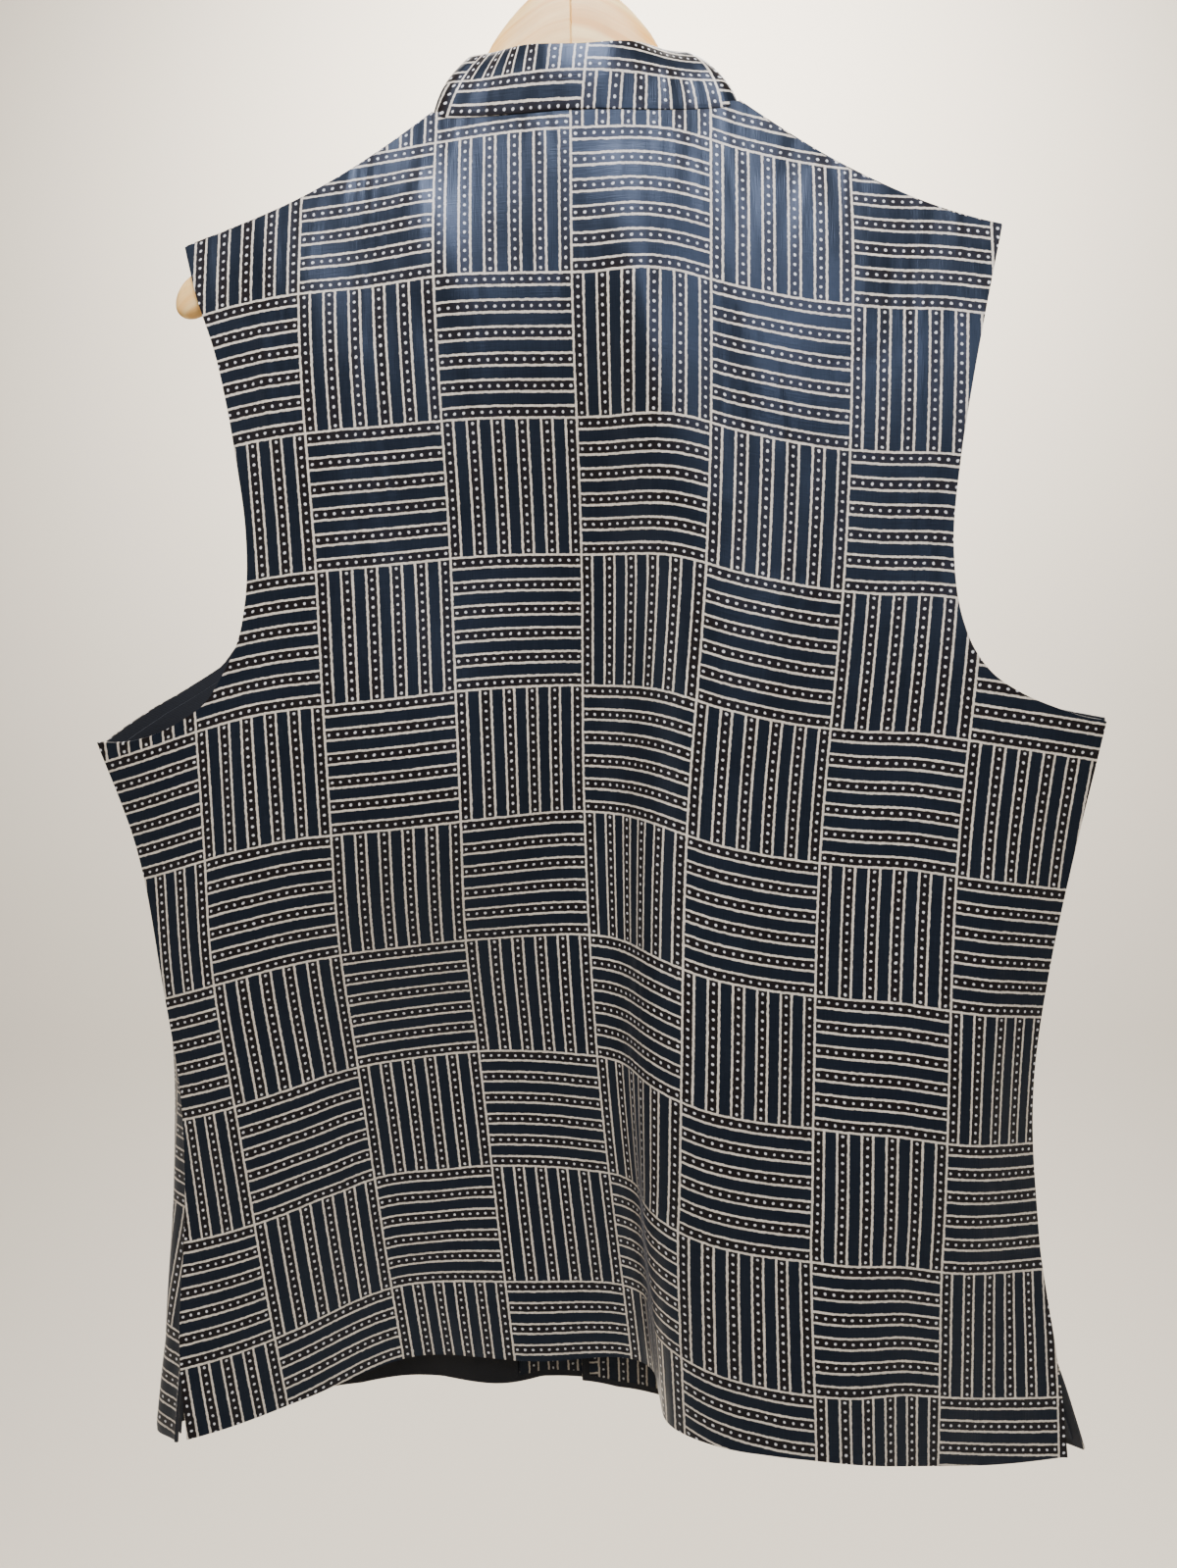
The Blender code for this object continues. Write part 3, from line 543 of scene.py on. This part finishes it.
def platedWire(name):
    # nickel-plated steel wire, drawn and polished, a little uneven in its gloss
    material, tree = newMaterial(name)
    place = addNode(tree, "TexCoord").node.outputs["Object"]
    drawn = addNode(tree, "TexNoise", {"Vector": place, "Scale": 260.0, "Detail": 2.0})
    rough = addNode(tree, "MapRange", {"Value": drawn, "To Min": 0.16, "To Max": 0.30})
    shader = addNode(tree, "BsdfPrincipled", {
        "Base Color": toLinear("#c9c8c4"), "Metallic": 1.0, "Roughness": rough})
    addNode(tree, "OutputMaterial", (shader,))
    return material


def mouldedButton(name):
    # cast polyester: dark blue-black, polished, with faint clouding
    material, tree = newMaterial(name)
    place = addNode(tree, "TexCoord").node.outputs["Object"]
    cloud = addNode(tree, "TexNoise", {"Vector": place, "Scale": 300.0, "Detail": 3.0, "Distortion": 1.5})
    share = addNode(tree, "MapRange", {"Value": cloud, "From Min": 0.35, "From Max": 0.65})
    dark, clouded = toLinear("#12141b"), toLinear("#252b38")
    colour = addNode(tree, "Mix", {0: share, 6: dark, 7: clouded}, data_type="RGBA")
    shader = addNode(tree, "BsdfPrincipled", {"Base Color": colour, "Roughness": 0.24, "IOR": 1.55})
    addNode(tree, "OutputMaterial", (shader,))
    return material


def sewingThread(name):
    # polyester thread, dark navy, two plies
    material, tree = newMaterial(name)
    place = addNode(tree, "TexCoord").node.outputs["Object"]
    ply = addNode(tree, "TexNoise", {"Vector": place, "Scale": 2500.0, "Detail": 1.0})
    colour = addNode(tree, "Mix", {0: ply, 6: toLinear("#141a26"), 7: toLinear("#2b3547")}, data_type="RGBA")
    bump = addNode(tree, "Bump", {"Strength": 0.5, "Distance": 0.0002, "Height": ply})
    shader = addNode(tree, "BsdfPrincipled", {
        "Base Color": colour, "Roughness": 0.6, "Normal": bump, "Sheen Weight": 0.2})
    addNode(tree, "OutputMaterial", (shader,))
    return material


printCloth = printedSatin("printedSilkSatin")
# the facings inside the fronts: the same print darkened to 0.8 as painted shade for the inside of the
# jacket, with a duller gloss
shadedInnerPrint = printedSatin("printedSilkSatinInsideShaded", shade=0.8, roughness=0.55)
liningCloth = plainCloth("navyTwillLining", "#050609", "#10131a", 0.85, 0.06)
woodFinish = lacqueredWood("lacqueredPaleWood")
wireFinish = platedWire("nickelPlatedWire")
buttonFinish = mouldedButton("castPolyesterButton")
threadFinish = sewingThread("navySewingThread")
print("materials made")


def meshFrom(bm, name):
    mesh = bpy.data.meshes.new(name)
    bm.to_mesh(mesh)
    bm.free()
    return mesh


def finish(piece, smoothAngle=50):
    # live modifiers become the mesh, smooth but for its edges
    depsgraph = bpy.context.evaluated_depsgraph_get()
    mesh = bpy.data.meshes.new_from_object(piece.evaluated_get(depsgraph))
    piece.modifiers.clear()
    piece.data = mesh
    mesh.shade_smooth()
    mesh.set_sharp_from_angle(angle=math.radians(smoothAngle))
    return piece


def addPiece(name, mesh, materials, replaced=None):
    piece = bpy.data.objects.new(name, mesh)
    for material in materials:
        mesh.materials.append(material)
    bpy.context.scene.collection.objects.link(piece)
    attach(piece, "root")
    if replaced:
        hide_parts(replaced)
    return piece


def clothPanel(name, points, flat, thickness, outwards, materials, replaced):
    # a grid whose corners are moved onto the cloth's points, rows from the top, then thickened
    rows, columns = points.shape[0] - 1, points.shape[1] - 1
    bm = bmesh.new()
    bmesh.ops.create_grid(bm, x_segments=columns, y_segments=rows, size=1.0)
    mesh = meshFrom(bm, name)
    corner = np.empty(len(mesh.vertices) * 3)
    mesh.vertices.foreach_get("co", corner)
    corner = corner.reshape(-1, 3)
    column = np.rint((corner[:, 0] + 1) / 2 * columns).astype(int)
    row = np.rint((1 - corner[:, 1]) / 2 * rows).astype(int)
    mesh.vertices.foreach_set("co", points[row, column].ravel())
    loops = np.empty(len(mesh.loops), int)
    mesh.loops.foreach_get("vertex_index", loops)
    layer = mesh.uv_layers.new(name="flat")
    layer.data.foreach_set("uv", flat[row, column][loops].ravel())
    mesh.update()
    piece = addPiece(name, mesh, materials, replaced)
    solid = piece.modifiers.new("cloth", "SOLIDIFY")
    solid.thickness = thickness
    solid.offset = 1.0 if outwards else -1.0
    solid.material_offset = len(materials) - 1
    return piece


def evenRows(drop, half, count):
    # the same edge, in rows evenly spaced along it
    run = np.concatenate([[0], np.cumsum(np.hypot(np.diff(drop), np.diff(half)))])
    at = np.linspace(0, run[-1], count + 1)
    return np.interp(at, run, drop)[:, None], np.interp(at, run, half)[:, None]


def leftFrontHalf(t):
    # the left front's armhole is cut shallower than the back's, so that its lining shows behind it
    drop, half = metres(leftFrontArmhole).T
    return np.where(t < drop[-1], np.interp(t, drop, half), sideHalf(t, leftSide))


def frontEdge(left, count, inset):
    # a front's armhole and side seam, or the edge of what lies inside it
    margin = max(inset, cut["edgeMargin"] * mm)
    drop = np.linspace(cut["tipDrop"] * mm + margin, cut["hem"] * mm - inset, 30001)
    if left:
        reach = 60    # samples on each side that smooth the edge's corners
        half = np.minimum(leftFrontHalf(drop), leftFrontHalf(drop - inset)) - margin
        window = np.full(2 * reach + 1, 1 / (2 * reach + 1))
        half = np.convolve(np.pad(half, reach, "edge"), window, "valid")
    else:
        both = [outlineHalf(at, cut["chestHalf"], rightSide, curves["rightFrontArmhole"])
                for at in (drop, drop - inset)]
        half = np.minimum(*both) - margin
    return evenRows(drop, half, count)


def backEdge(armhole, side, count):
    samples = 600
    points = metres(armhole)
    run = np.concatenate([[0], np.cumsum(np.hypot(*np.diff(points, axis=0).T))])
    upper = smoothCurve(run, points.T, np.linspace(0, run[-1], samples))
    lower = np.linspace(points[-1, 0], cut["hem"] * mm, samples)[1:]
    drop = np.concatenate([upper[0], lower])
    half = np.concatenate([upper[1], sideHalf(lower, side)]) - cut["edgeMargin"] * mm
    return evenRows(drop, half, count)


def bendRows(top, hem, sideDrop, share):
    # drops of a grid whose rows curve up or down to meet the side's own rows
    v = np.linspace(0, 1, len(sideDrop))[:, None]
    straight = sideDrop[0] * (1 - v) + sideDrop[-1] * v
    return top * (1 - v) + hem * v + (sideDrop - straight) * share**4


# the print was laid a little uneven: how much lower its rows run, at points across the back
printDrift = ((-300, 11), (-240, 9), (-190, 5), (-120, 3), (-60, 0), (0, 0), (50, -2), (90, 6),
              (130, 10), (160, 9), (200, 3), (250, 3), (300, 7))


def makeBack():
    columns, rows = 176, 214
    across = np.linspace(-1, 1, columns + 1)
    leftRows = backEdge(leftArmhole, backLeftSide, rows)
    rightRows = backEdge(rightArmhole, backRightSide, rows)
    sideDrop, half = (np.where(across < 0, *pair) for pair in zip(leftRows, rightRows))
    top = backTop(across * cut["tipHalf"] * mm) + cut["edgeMargin"] * mm
    # the hem is a little shorter towards its left corner
    shorter = np.interp(across, (-1, -0.45), (1, 0))
    hem = (cut["hem"] - cut["cornerRise"] * shorter) * mm
    t = bendRows(top, hem, sideDrop, abs(across))
    s = across * half
    outwards = -surfaceNormal(backPoint, s, t)
    past = (cut["hem"] + creasePast["back"]) * mm
    calm = edgeCalm(s, t, outlineHalf(t, cut["backHalf"], backLeftSide), backTop(s), past)
    points = backPoint(s, t) + outwards * (creaseHeight(s, t, backCreases) * calm)[..., None]
    drift = metres(printDrift)
    flat = np.stack([s, t - smoothCurve(drift[:, 0], drift[:, 1], s)], axis=-1)
    return finish(clothPanel("jacketBack", points, flat, cut["wall"] * mm, True,
                             [printCloth, liningCloth], "back"))


def frontGrid(left, columns, rows, fromEdge, toSide, inset):
    # (s, t) over part of a front; fromEdge and toSide are measured from the centre edge
    sign = -1 if left else 1
    edge = -sign * cut["overlap"] * mm
    start = edge + sign * fromEdge * mm
    share = 1 - (1 - np.linspace(0, 1, columns + 1)) ** 1.2
    sideDrop, half = frontEdge(left, rows, inset)
    last = sign * half
    if toSide is not None:
        last = edge + sign * toSide * mm + 0 * half
        sideDrop = np.linspace(sideDrop[0], sideDrop[-1], rows + 1)
    s = start + (last - start) * share
    top = frontTop(s[:1]) + cut["edgeMargin"] * mm + inset
    hem = frontHem(s[-1:]) - inset
    t = bendRows(top, hem, sideDrop, share)
    return (s, t) if left else (s[:, ::-1], t[:, ::-1])


# where each front piece was cut from the printed cloth: moved across and down, millimetres
cutFrom = {"frontLeft": (-35, 4), "frontRight": (20, 8), "facingLeft": (76, -25), "facingRight": (0, -25)}
# the pieces of a front: columns, rows, from and to across it, inset, outwards, wall, cloths, slot
skinHalfSeam = 0.6    # half the seam between a lining and its facing
frontPieces = {
    "front": (118, 190, 0, None, 0, 0, cut["wall"], [printCloth, liningCloth], "cloth"),
    "lining": (72, 150, cut["facing"] + skinHalfSeam, None, cut["skinInset"], -cut["skinGap"],
               cut["liningWall"], [liningCloth], "lining"),
    "facing": (22, 150, cut["skinInset"], cut["facing"] - skinHalfSeam, cut["skinInset"], -cut["skinGap"],
               cut["liningWall"], [shadedInnerPrint], "facing"),
}


def makeFrontPiece(kind, left):
    columns, rows, fromEdge, toSide, inset, out, wall, cloths, slotName = frontPieces[kind]
    word = "Left" if left else "Right"
    name = kind + word
    s, t = frontGrid(left, columns, rows, fromEdge, toSide, inset * mm)
    points = offsetFront(s, t, out * mm + 0 * s, left)
    across, down = cutFrom.get(name, (0, 0))
    flat = np.stack([s + across * mm, t + down * mm], axis=-1)
    return finish(clothPanel(name, points, flat, wall * mm, kind == "front", cloths,
                             f"{kind}_{word.lower()}"))


jacketBack = makeBack()
print("back made")
frontLeft, frontRight, liningLeft, liningRight, facingLeft, facingRight = (
    makeFrontPiece(kind, left) for kind in frontPieces for left in (True, False))
print("fronts, linings and facings made")

# band collar: stands on the neck's edge, two plies with a turned edge
collarSet = {
    "height": 34.5, "sideRise": 9, "wall": 2.4, "sink": 3.4, "outset": 2.2, "belly": 1.0,
    "leftLean": 40, "rightLean": 47, "backLean": 0, "frontLean": 14, "footLean": 0.55, "footRise": 1.2,
    "corner": 16, "endGap": 2, "centreX": 6, "foldEdge": 0.9, "settle": 60,
    "columns": 220, "levels": 14, "printAcross": -13.5, "printDown": -45, "printLean": 0.11,
}


def makeCollar():
    count = 120
    neck = cut["neckHalf"] * mm
    halfWall = cut["wall"] / 2 * mm
    leftS = -neck * np.sin(np.linspace(0, math.pi / 2, count))
    rightS = -leftS[::-1]
    backS = np.linspace(-neck, neck, 2 * count)[1:-1]
    neckT = backTop(backS)
    leftRim = offsetFront(leftS, frontTop(leftS), halfWall + 0 * leftS, True)
    backRim = backPoint(backS, neckT) + surfaceNormal(backPoint, backS, neckT) * halfWall
    rightRim = offsetFront(rightS, frontTop(rightS), halfWall + 0 * rightS, False)
    ring = np.concatenate([leftRim, backRim, rightRim])
    for _ in range(collarSet["settle"]):
        ring[1:-1] = (ring[:-2] + 2 * ring[1:-1] + ring[2:]) / 4
    length = np.concatenate([[0], np.cumsum(np.linalg.norm(np.diff(ring, axis=0), axis=1))])
    total = length[-1]
    endGap = collarSet["endGap"] * mm
    # the centre of the back is where the print's centre line falls
    behind = slice(count + 20, -count - 20)
    middleAlong = float(np.interp(0, ring[behind, 0], length[behind]))

    columns, levels = collarSet["columns"], collarSet["levels"]
    u, v = np.meshgrid(np.linspace(0, 1, columns + 1), np.linspace(0, 1, levels + 1))
    along = endGap + u * (total - 2 * endGap)
    base = np.stack([np.interp(along, length, ring[:, k]) for k in range(3)], axis=-1)
    middle = np.array([collarSet["centreX"] * mm, 0.5 * (ring[:, 1].min() + ring[:, 1].max())])
    out = base[..., :2] - middle
    out /= np.linalg.norm(out, axis=-1, keepdims=True)
    tangent = np.gradient(base[..., :2], axis=1)
    facing = np.stack([tangent[..., 1], -tangent[..., 0]], axis=-1)
    facing /= np.linalg.norm(facing, axis=-1, keepdims=True) + 1e-12
    facing *= np.sign((facing * out).sum(-1))[..., None]
    endLean = np.where(out[..., 1] < 0, collarSet["backLean"], collarSet["frontLean"])
    sideLean = np.where(out[..., 0] < 0, collarSet["leftLean"], collarSet["rightLean"])
    lean = np.radians(endLean + (sideLean - endLean) * abs(out[..., 0]) ** 4)
    corner = collarSet["corner"] * mm
    fromEnd = np.clip(np.minimum(along, total - along) - endGap, 0, corner)
    lost = corner - np.sqrt(np.clip(corner**2 - (corner - fromEnd) ** 2, 0, None))
    up = 1 - v
    height = ((collarSet["height"] + collarSet["sideRise"] * out[..., 0] ** 2) * mm - lost) * up
    # the band bellies out a little between its seam and its top
    belly = (collarSet["belly"] * np.sin(math.pi * up) + collarSet["outset"]) * mm
    # it leans in more towards its top, so its sides round over
    footLean, footRise = collarSet["footLean"], collarSet["footRise"]
    inwards = height * np.sin(lean) * (footLean + (1 - footLean) * up)
    points = base.copy()
    points[..., :2] += facing * belly[..., None] - out * inwards[..., None]
    points[..., 2] += height * np.cos(lean) * (footRise + (1 - footRise) * up) - collarSet["sink"] * mm
    flat = np.stack([along - middleAlong + collarSet["printAcross"] * mm - collarSet["printLean"] * height,
                     collarSet["printDown"] * mm - height], axis=-1)
    piece = clothPanel("bandCollar", points, flat, collarSet["wall"] * mm, True,
                       [printCloth], "collar")
    piece.modifiers["cloth"].offset = 0.0
    bevel = piece.modifiers.new("turnedEdge", "BEVEL")
    bevel.width = collarSet["foldEdge"] * mm
    bevel.segments = 3
    bevel.limit_method = "ANGLE"
    bevel.angle_limit = math.radians(60)
    return finish(piece)


bandCollar = makeCollar()
print("collar made")

# five plain four-hole buttons, and the worked buttonholes under them
buttonSet = {
    "count": 5, "across": 15.0, "thick": 2.8, "floor": 0.62, "seat": 0.35, "firstDrop": 104, "pitch": 108,
    "holeSpacing": 2.6, "holeRadius": 0.75, "plug": 0.3,
    "threadRadius": 0.32, "threadApart": 0.7, "threadRise": 0.35, "threadPast": 0.8,
    "slotLength": 19, "slotHalf": 1.1, "slotShift": 3, "stitchRadius": 0.42, "stitchRise": 0.15,
}


def seatOnFront(drop, out):
    t = np.array([drop * mm])
    s = np.array([0.0])
    normal = surfaceNormal(frontPoint, s, t)[0]
    place = offsetFront(s, t, np.array([out * mm]), True)[0]
    turn = Vector(normal).to_track_quat("Z", "Y").to_matrix().to_4x4()
    return Matrix.Translation(Vector(place)) @ turn


def makeButton(number, drop):
    seat = seatOnFront(drop, cut["wall"] + buttonSet["seat"])
    radius, thick, floor = buttonSet["across"] / 2 * mm, buttonSet["thick"] * mm, buttonSet["floor"]
    profile = ((0.0, floor), (0.50, floor), (0.66, 0.72), (0.74, 0.94), (0.82, 1.0), (0.90, 0.97),
               (0.97, 0.80), (1.0, 0.52), (0.97, 0.24), (0.88, 0.04), (0.80, 0.0), (0.0, 0.0))
    bm = bmesh.new()
    rim = [bm.verts.new((radius * r, 0.0, thick * z)) for r, z in profile]
    edges = [bm.edges.new(pair) for pair in zip(rim, rim[1:])]
    bmesh.ops.spin(bm, geom=rim + edges, cent=(0, 0, 0), axis=(0, 0, 1), angle=2 * math.pi, steps=40,
                   use_merge=True)
    bmesh.ops.remove_doubles(bm, verts=bm.verts, dist=0.00001)
    bmesh.ops.recalc_face_normals(bm, faces=bm.faces)
    bm.transform(seat)
    name = f"button{number}"
    finish(addPiece(name, meshFrom(bm, name), [buttonFinish], f"button_{number}"))
    # thread fills the holes, and two round bars of it lie over each pair
    bm = bmesh.new()
    half, holeRadius = buttonSet["holeSpacing"] / 2 * mm, buttonSet["holeRadius"] * mm
    threadRadius, apart = buttonSet["threadRadius"] * mm, buttonSet["threadApart"] / 2 * mm
    for x in (-half, half):
        for y in (-half, half):
            bmesh.ops.create_cone(bm, cap_ends=True, segments=14, radius1=holeRadius,
                                  radius2=holeRadius * 0.9, depth=buttonSet["plug"] * mm,
                                  matrix=Matrix.Translation((x, y, floor * thick)))
        for shift in (-apart, apart):
            over = Matrix.Translation((x + shift, 0, floor * thick + buttonSet["threadRise"] * mm))
            bmesh.ops.create_cone(bm, cap_ends=True, segments=10, radius1=threadRadius,
                                  radius2=threadRadius, depth=2 * half + buttonSet["threadPast"] * mm,
                                  matrix=over @ Matrix.Rotation(math.pi / 2, 4, "X"))
    bm.transform(seat)
    name = f"buttonThread{number}"
    finish(addPiece(name, meshFrom(bm, name), [threadFinish]))


def tubeAlong(name, path, radius, closed, material, resolution, replaced=None):
    curve = bpy.data.curves.new(name, "CURVE")
    curve.dimensions = "3D"
    curve.bevel_depth = radius
    curve.bevel_resolution = resolution
    curve.use_fill_caps = True
    spline = curve.splines.new("POLY")
    spline.points.add(len(path) - 1)
    for point, place in zip(spline.points, path):
        point.co = (*place, 1.0)
    spline.use_cyclic_u = closed
    maker = bpy.data.objects.new(name + "Path", curve)
    bpy.context.scene.collection.objects.link(maker)
    mesh = bpy.data.meshes.new_from_object(maker.evaluated_get(bpy.context.evaluated_depsgraph_get()))
    bpy.data.objects.remove(maker, do_unlink=True)
    mesh.name = name
    finish(addPiece(name, mesh, [material], replaced))


def makeButtonhole(number, drop):
    half, halfLength = buttonSet["slotHalf"] * mm, buttonSet["slotLength"] / 2 * mm
    angles = np.linspace(0, 2 * math.pi, 48, endpoint=False)
    ends = np.where(np.cos(angles) > 0, 1, -1) * (halfLength - half)
    s = buttonSet["slotShift"] * mm - halfLength + ends + half * np.cos(angles)
    t = drop * mm + half * np.sin(angles)
    path = offsetFront(s, t, (cut["wall"] + buttonSet["stitchRise"]) * mm + 0 * s, True)
    radius = buttonSet["stitchRadius"] * mm
    tubeAlong(f"buttonholeStitch{number}", path, radius, True, threadFinish, 3)


for number in range(buttonSet["count"]):
    drop = buttonSet["firstDrop"] + number * buttonSet["pitch"]
    makeButton(number + 1, drop)
    makeButtonhole(number + 1, drop)
print("buttons and buttonholes made")

# hanger: two shaped arms glued at the centre
hangerSet = {
    "reach": 229, "thickness": 12, "tip": 13, "joint": 0.08, "chamfer": 0.6, "endShy": 0.5,
    "stations": 64, "tipStations": 12, "sides": 36, "section": 0.8, "grainLean": 0.7, "grainShift": 0.4,
}
# an arm's outline: across, top, bottom, depth
hangerRows = (
    (0, -64.5, -166, 0),
    (12, -67, -168, 0),
    (25.6, -77.8, -171, 0),
    (38, -90.5, -175, 0),
    (47.6, -104, -178, 0),
    (52, -114, -179, -1),
    (56, -127, -181, -3),
    (61, -140, -183, -6),
    (68, -151, -185, -9.5),
    (80, -158.5, -190, -12.5),
    (112, -179, -205, -14.5),
    (153, -201, -224, -16),
    (193, -219, -242, -17),
    (217, -227, -251, -17.5),
    (229, -232, -255.5, -17.5),
)


def makeHangerHalf(name, sign, replaced):
    outline = metres(hangerRows)
    tip, joint = hangerSet["tip"] * mm, hangerSet["joint"] * mm
    chamfered, tipFrom = joint + hangerSet["chamfer"] * mm, hangerSet["reach"] * mm - tip
    body = chamfered + (tipFrom - chamfered) * np.linspace(0, 1, hangerSet["stations"])[1:]
    rounded = tipFrom + tip * np.sin(np.linspace(0.12, 1.52, hangerSet["tipStations"]))
    stations = np.concatenate([[joint, chamfered], body, rounded])
    sides, section = hangerSet["sides"], hangerSet["section"]
    bm = bmesh.new()
    grain = bm.loops.layers.uv.new("grain")
    first = ring = bmesh.ops.create_circle(bm, cap_ends=False, segments=sides, radius=1.0)["verts"]
    middles = []
    for k, x in enumerate(stations):
        top, bottom, depth = (float(smoothCurve(outline[:, 0], outline[:, c], x)) for c in (1, 2, 3))
        middles.append((top + bottom) / 2)
        closing = math.sqrt(1 - max(0.0, (x - tipFrom) / tip) ** 2)
        shy = hangerSet["endShy"] * mm if k == 0 else 0.0
        halfHeight = (top - bottom) / 2 * closing - shy
        halfThick = hangerSet["thickness"] / 2 * mm * closing - shy
        if k:
            edges = [e for e in bm.edges if e.verts[0] in ring and e.verts[1] in ring]
            made = bmesh.ops.extrude_edge_only(bm, edges=edges)["geom"]
            fresh = {v for v in made if isinstance(v, bmesh.types.BMVert)}
            ring = [next(e.other_vert(v) for e in v.link_edges if e.other_vert(v) in fresh) for v in ring]
        for n, v in enumerate(ring):
            angle = 2 * math.pi * (n + 0.5) / sides
            cosine, sine = (math.copysign(abs(c) ** section, c) for c in (math.cos(angle), math.sin(angle)))
            v.co = (sign * x, depth + halfThick * cosine, middles[k] + halfHeight * sine)
    bm.faces.new(first)
    bm.faces.new(ring)
    bmesh.ops.recalc_face_normals(bm, faces=bm.faces)
    # the grain follows the arm, and the right arm is cut from another part of the board
    moved = hangerSet["grainShift"] if sign > 0 else 0.0
    for face in bm.faces:
        for loop in face.loops:
            x, y, z = loop.vert.co
            drop = z - float(np.interp(abs(x), stations, middles))
            loop[grain].uv = (abs(x), drop + y * hangerSet["grainLean"] + moved)
    finish(addPiece(name, meshFrom(bm, name), [woodFinish], replaced), smoothAngle=35)


makeHangerHalf("hangerArmLeft", -1, "hanger_left")
makeHangerHalf("hangerArmRight", 1, "hanger_right")
hookSet = {
    "wire": 3.8, "radius": 24, "startAngle": -48, "endAngle": 200, "loopSteps": 72,
    "foot": -66.5, "stemTop": -60.6, "stemEase": 6, "loopEase": 7, "bendSteps": 18,
}


def makeHook():
    wire = hookSet["wire"] / 2 * mm
    radius, centre = hookSet["radius"] * mm + wire, -hookSet["radius"] * mm
    begin, end = (math.radians(hookSet[k]) for k in ("startAngle", "endAngle"))
    loop = [Vector((radius * math.cos(angle), 0.0, centre + radius * math.sin(angle)))
            for angle in np.linspace(begin, end, hookSet["loopSteps"])]
    stemTop, join = Vector((0, 0, hookSet["stemTop"] * mm)), loop[0]
    handle = stemTop + Vector((0, 0, hookSet["stemEase"] * mm))
    inward = join + Vector((math.sin(begin), 0, -math.cos(begin))) * hookSet["loopEase"] * mm
    route = [Vector((0, 0, hookSet["foot"] * mm)), stemTop]
    for step in range(1, hookSet["bendSteps"]):
        u = step / hookSet["bendSteps"]
        route.append(stemTop * (1 - u) ** 3 + handle * 3 * u * (1 - u) ** 2
                     + inward * 3 * u * u * (1 - u) + join * u**3)
    tubeAlong("hangerHook", route + loop, wire, False, wireFinish, 5, "hanger_hook")


makeHook()
print("hanger made")

# pale sweep of floor and backdrop, far behind so that it hides nothing from the other sides
stageSet = {"floorZ": -2.20, "backY": 2.3, "halfWidth": 6.0, "frontY": -5.0, "curve": 0.9, "topZ": 4.5}


def makeStage():
    floorZ, backY, curve, halfWidth = (stageSet[k] for k in ("floorZ", "backY", "curve", "halfWidth"))
    profile = [(stageSet["frontY"], floorZ)]
    for angle in np.linspace(0, math.pi / 2, 14):
        profile.append((backY - curve + curve * math.sin(angle), floorZ + curve * (1 - math.cos(angle))))
    profile.append((backY, stageSet["topZ"]))
    bm = bmesh.new()
    line = [bm.verts.new((-halfWidth, y, z)) for y, z in profile]
    edges = [bm.edges.new(pair) for pair in zip(line, line[1:])]
    made = bmesh.ops.extrude_edge_only(bm, edges=edges)["geom"]
    moved = [v for v in made if isinstance(v, bmesh.types.BMVert)]
    bmesh.ops.translate(bm, verts=moved, vec=(2 * halfWidth, 0, 0))
    bmesh.ops.recalc_face_normals(bm, faces=bm.faces)
    mesh = meshFrom(bm, "studioSweep")
    mesh.shade_smooth()
    sweep = bpy.data.objects.new("studioSweep", mesh)
    material, tree = newMaterial("matteWallPaint")
    place = addNode(tree, "TexCoord").node.outputs["Object"]
    stipple = addNode(tree, "TexNoise", {"Vector": place, "Scale": 30.0, "Detail": 3.0})
    bump = addNode(tree, "Bump", {"Strength": 0.05, "Distance": 0.001, "Height": stipple})
    shader = addNode(tree, "BsdfPrincipled", {
        "Base Color": toLinear("#dcd6ca"), "Roughness": 0.9, "Normal": bump})
    addNode(tree, "OutputMaterial", (shader,))
    mesh.materials.append(material)
    bpy.context.scene.collection.objects.link(sweep)


makeStage()

# soft studio light: place, aim, size, power, colour
lampSet = {
    "overheadSoftbox": ((-0.03, -0.88, 0.80), (0.0, 0.0, -0.22), 0.7, 51, "#f0f3ff"),
    "sideFill": ((-2.2, -1.6, -0.2), (0.0, 0.0, -0.5), 1.6, 7, "#fff4e8"),
    "rightFill": ((2.3, -1.4, 0.1), (0.0, 0.0, -0.5), 1.6, 6, "#fff4e8"),
    "windowSoftbox": ((0.26, -1.30, 0.10), (0.08, 0.0, -0.36), 0.5, 7.5, "#e8eeff"),
    "frontSideSoftbox": ((0.5, 1.5, 0.8), (0.0, 0.0, -0.45), 1.2, 60, "#fff8f0"),
    "wallWash": ((0.0, 0.9, 1.3), (0.0, 2.3, 0.0), 1.4, 190, "#fff6ea"),
}
for name, (place, aim, size, power, tint) in lampSet.items():
    lamp = bpy.data.lights.new(name, "AREA")
    lamp.shape = "DISK"
    lamp.size = size
    lamp.energy = power
    lamp.color = toLinear(tint)[:3]
    holder = bpy.data.objects.new(name, lamp)
    holder.location = place
    holder.rotation_euler = (Vector(aim) - Vector(place)).to_track_quat("-Z", "Y").to_euler()
    bpy.context.scene.collection.objects.link(holder)
airSet = {"tint": "#e6e3dd", "strength": 0.22}
world = bpy.data.worlds.new("studioAir")
world.use_nodes = True
bpy.context.scene.world = world
background = world.node_tree.nodes["Background"]
background.inputs[0].default_value = toLinear(airSet["tint"])
background.inputs[1].default_value = airSet["strength"]
print("stage and lights made")
